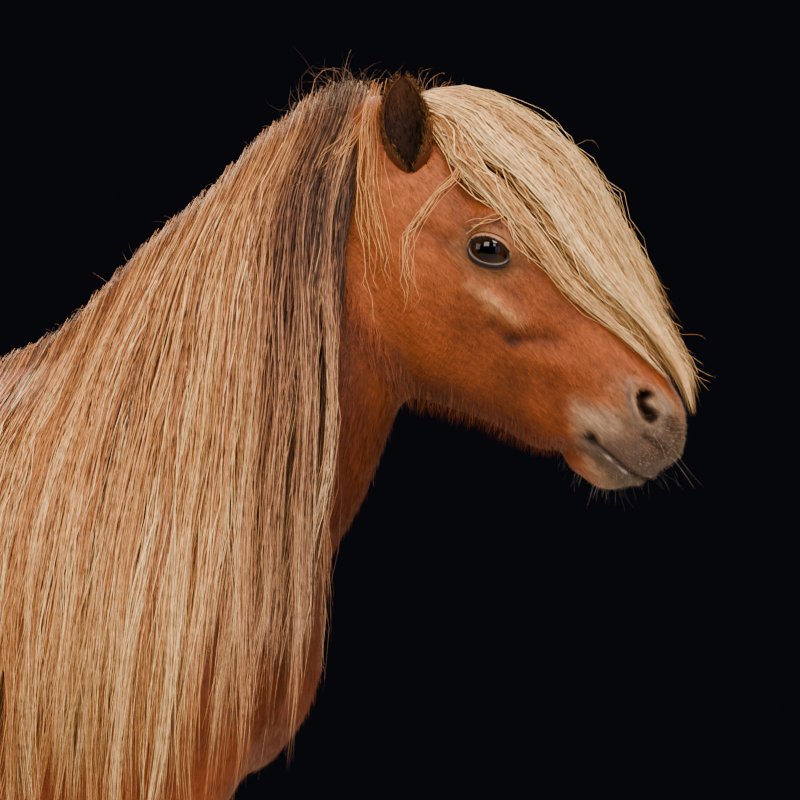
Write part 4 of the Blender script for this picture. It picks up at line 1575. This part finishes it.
# Lashes along the upper lid
for side, hand in (("right", -1), ("left", 1)):
    draw = np.random.default_rng(lashes["seed"])
    count = lashes["hairs"]
    angle = draw.uniform(0.35, 2.9, count)
    roots = lidPlace(angle, 0.3, 1.6, hand)
    ways = unit(unit(lidPlace(angle, 4.0, 4.0, hand) - roots) * 0.6 + np.array([0.1, hand * 1.2, 0.0]))
    paths = freeHairs(draw, roots, ways, draw.uniform(5, 10, count), 5, 0.55, 0.1)
    tints = np.repeat(tone("#2a1a12")[None], count, 0)
    addHair("lashes_" + side, looseHair(draw, paths, lashes["width"], ways, roots, tints), hairMaterial,
            "flaxen_hair", ["head"])

# Hair of the ears: longer over the whole inside, and short on the rim and the back
earHairShades = np.array([tone(value) for value in ("#1c0f07", "#3f2411", "#6e451f", "#a87a42")])
for side, hand in (("right", -1), ("left", 1)):
    draw = np.random.default_rng(earHairs["seed"])
    count = earHairs["inside"] + earHairs["rim"] + earHairs["outside"]
    inside = np.arange(count) < earHairs["inside"]
    outer = np.arange(count) >= earHairs["inside"] + earHairs["rim"]
    share = np.where(inside, draw.uniform(-0.05, 0.95, count), draw.uniform(-0.1, 1, count))
    within = draw.uniform(-0.96, 0.96, count)
    edge = np.where(inside, within, np.sign(draw.normal(size=count)) * draw.uniform(0.95, 1, count))
    edge = np.where(outer, edge * draw.uniform(0.45, 1, count), edge)
    inset = np.where(inside, earShape["wall"] - 0.4, np.where(outer, 0.1, 1.0))
    roots = earPlace(side, hand, share, edge, inset)
    centre = earPlace(side, hand, np.minimum(share + 0.22, 1), edge * 0 + 0.2 * np.sign(edge), -6)
    rimOut = unit(roots - earPlace(side, hand, share, edge * 0.6, 4))
    inwards = unit(unit(centre - roots) * 0.5 + np.array([-0.1, hand * 0.55, 0.7]))
    outwards = unit(rimOut * np.where(outer, 0.35, 1.0)[:, None] + np.array([0, hand * 0.25, 0.9]))
    ways = np.where(inside[:, None], inwards, outwards)
    longer = draw.uniform(8, 17, count) * (1 - 0.4 * np.clip(share, 0, 1))
    size = np.where(inside, longer, draw.uniform(3, 7.5, count))
    paths = freeHairs(draw, roots, ways, size, 4, 0.3, 0.25, (0.0, 0, 0.6))
    tints = shadeAt(earHairShades, draw.normal(np.where(inside, 0.30 + 0.24 * (edge > 0.3), 0.6), 0.18))
    addHair("ear_hair_" + side, looseHair(draw, paths, earHairs["width"], ways, roots, tints), hairMaterial,
            "ear", ["ear_" + side])

# Wisps: places along and above the face and to its side, how many hairs, how wide they spread and how pale
wisps = [
    ([(88, 30, -50), (96, 17, -61), (105, 4, -66), (105, -17, -69), (111, -44, -73), (116, -65, -75),
      (134, -86, -73), (152, -102, -69), (160, -121, -62)], 13, 3.8, 0.8),
    ([(-12, 0, -38), (8, -22, -58), (34, -44, -65), (60, -69, -67), (91, -89, -69), (121, -113, -66),
      (147, -127, -61)], 20, 7.0, 0.78),
    ([(162, 16, -60), (158, 2, -70), (151, -14, -74), (147, -32, -72)], 4, 2.5, 0.8),
    ([(120, 34, -46), (138, 26, -62), (166, 14, -70), (190, 8, -70)], 5, 4.0, 0.85),
    ([(0, -8, -44), (14, -48, -60), (20, -96, -68), (26, -140, -70), (38, -178, -64)], 12, 8, 0.72)]
draw = np.random.default_rng(wispHairs["seed"])
wispRows = []
for places, count, spread, paleness in wisps:
    places = np.array(places, float)
    run = np.append(0, np.cumsum(np.linalg.norm(np.diff(places, axis=0), axis=1)))
    part = np.linspace(0, 1, wispHairs["steps"])[None] * np.clip(draw.normal(0.86, 0.12, (count, 1)), 0.5, 1.08)
    rows = readRows(np.column_stack([run / run[-1], places]), np.clip(part, 0, 1))[1:]
    own = draw.normal(0, 1.3, (3, count, 1)) * spread * np.array([1, 1, 0.35])[:, None, None]
    waves = np.stack([crinkle(draw, part * run[-1], (50, 21), 5.0) for _ in range(3)]) * part
    rows = rows + own * (0.35 + 0.75 * part) + waves * np.array([1, 1, 0.3])[:, None, None]
    tints = shadeAt(flaxen, draw.normal(paleness, 0.08, (count, 1)) - 0.3 * (1 - part) ** 2)
    paths = fromHead(*rows)
    outs = np.broadcast_to(unit(np.array([0.1, -1.0, 0.25])), paths.shape)
    widths = wispHairs["width"] * draw.uniform(0.6, 1.2, (count, 1)) * (1 - 0.6 * part**3)
    wispRows.append((paths, widths, outs, skinUnwrap(paths[:, 0]), tints))
addHair("wisps", [np.concatenate(part) for part in zip(*wispRows)], hairMaterial, "flaxen_hair", ["head"])

# Fly-aways: over the poll, along the crest and off the forelock
draw = np.random.default_rng(flyAways["seed"])
flyRows = []
count = flyAways["poll"] + flyAways["crest"]
high = np.arange(count) < flyAways["poll"]
share = np.where(high, draw.uniform(0.84, 1.05, count), draw.uniform(0, 0.95, count))
drop, off = draw.uniform(4, 20, count), draw.uniform(0, 12, count)
roots = manePlace(share, drop, off, -1, draw.uniform(-12, 12, count))
ways = unit(np.stack([draw.normal(np.where(high, 0.0, -0.75), 0.55), draw.normal(0, 0.35, count),
                      np.where(high, 1.0, 0.30)], -1))
size = np.where(high, draw.uniform(22, 78, count), draw.uniform(16, 42, count))
level = draw.normal(np.where(high, 0.34, 0.5), 0.16)
paths = freeHairs(draw, roots, ways, size, flyAways["steps"], 0.7, 0.8, (0.3, 0.0, -0.5))
flyRows.append((paths, roots, level))
count, risers = flyAways["forelock"], flyAways["rising"]
across = draw.uniform(-1, 1, count)
share = np.append(draw.uniform(0, 0.06, risers), draw.uniform(0.05, 0.92, count - risers))
roots = fromHead(*forelockPlace(across, share, draw.uniform(0.6, 1.02, count)))
rising = np.arange(count) < risers
ways = np.where(rising[:, None], faceUp - faceDown * 0.8, faceUp * 0.12 + faceDown)
ways = unit(ways + draw.normal(0, 0.18, (count, 3)))
level = draw.normal(np.where(rising, 0.5, 0.8), 0.12)
size = draw.uniform(14, 40, count)
paths = freeHairs(draw, roots, ways, size, flyAways["steps"], 0.5, 0.5, (0.5, -0.2, -0.6))
flyRows.append((paths, roots, level))
paths, roots, levels = (np.concatenate(part) for part in zip(*flyRows))
outs = unit(np.array([0.1, -1.0, 0.4])) * np.ones((len(roots), 1))
tints = shadeAt(flaxen, levels)
tints = mixed(tints, tints.mean(-1, keepdims=True) * np.array([1.3, 0.95, 0.7]), 0.6 * (levels < 0.6))
addHair("fly_aways", looseHair(draw, paths, flyAways["width"], outs, roots, tints), hairMaterial, "flaxen_hair",
        ["neck"])
print("loose hair made")

# Camera: level, 3 m off, looking across at the head and the mane as the photograph does
view = {"place": (0.452, -2.991, 0.915), "metresPerPixel": 0.00092, "pixels": 800, "distance": 3, "sensor": 36}
camera = bpy.data.objects.new("camera", bpy.data.cameras.new("camera"))
bpy.context.scene.collection.objects.link(camera)
camera.location = view["place"]
camera.rotation_euler = (math.radians(90), 0, 0)
camera.data.sensor_width = camera.data.sensor_height = view["sensor"]
camera.data.lens = view["sensor"] / 2 / (view["metresPerPixel"] * view["pixels"] / 2 / view["distance"])
bpy.context.scene.camera = camera

# Soft boxes: name, place, what each looks at, size, watts and colour
lights = [
    ("key", (-0.5, -2.6, 2.6), (0.4, 0, 0.85), 1.5, 108, "#fff0dc"),
    ("crown", (1.5, -1.3, 2.8), (0.6, -0.05, 1.1), 0.9, 84, "#ffeed4"),
    ("fill", (2.6, -2.4, 1.1), (0.45, 0, 0.85), 1.8, 14, "#fbf4ff"),
    ("rim", (0.0, 1.9, 2.9), (0.4, 0, 1.0), 1.2, 105, "#fff0d8"),
    ("window", (1.67, -2.5, 2.3), (0.53, -0.1, 1.07), 0.7, 22, "#c9dcff"),
    ("left", (1.4, 2.8, 1.8), (0.1, 0, 0.7), 1.8, 45, "#fff6ea"),
    ("hind", (-2.9, -0.9, 1.9), (-0.3, 0, 0.7), 1.8, 40, "#f4f6ff")]
for name, place, target, size, watts, shade in lights:
    lamp = bpy.data.lights.new(name, "AREA")
    lamp.size, lamp.energy, lamp.color = size, watts, tone(shade)
    holder = bpy.data.objects.new(name, lamp)
    holder.location = place
    holder.rotation_euler = (Vector(target) - Vector(place)).to_track_quat("-Z", "Y").to_euler()
    bpy.context.scene.collection.objects.link(holder)
world = bpy.data.worlds.new("studio")
world.use_nodes = True
world.node_tree.nodes["Background"].inputs["Color"].default_value = (*tone("#0c0c12"), 1)
world.node_tree.nodes["Background"].inputs["Strength"].default_value = 1.0
bpy.context.scene.world = world

# Pale studio floor, painted and matt
floorMaterial, tree, surface = newMaterial("studio floor, matt paint", Roughness=0.85)
cloud = grain(tree, metresOf(tree), {"Scale": 1.6, "Detail": 4.0})
ramp = addNode(tree, "ShaderNodeValToRGB", links={"Fac": cloud})
ramp.color_ramp.elements[0].color = (*tone("#b9b4ac"), 1)
ramp.color_ramp.elements[1].color = (*tone("#c9c5bd"), 1)
tree.links.new(ramp.outputs["Color"], surface.inputs["Base Color"])
floorShape = {"half": 2.4, "down": 0.001}
floorMesh = bpy.data.meshes.new("floor")
floorCorners = [(x * floorShape["half"], y * floorShape["half"], -floorShape["down"])
                for x, y in ((-1, -1), (1, -1), (1, 1), (-1, 1))]
floorMesh.from_pydata(floorCorners, [], [(0, 1, 2, 3)])
floorMesh.materials.append(floorMaterial)
floorPiece = bpy.data.objects.new("floor", floorMesh)
bpy.context.scene.collection.objects.link(floorPiece)
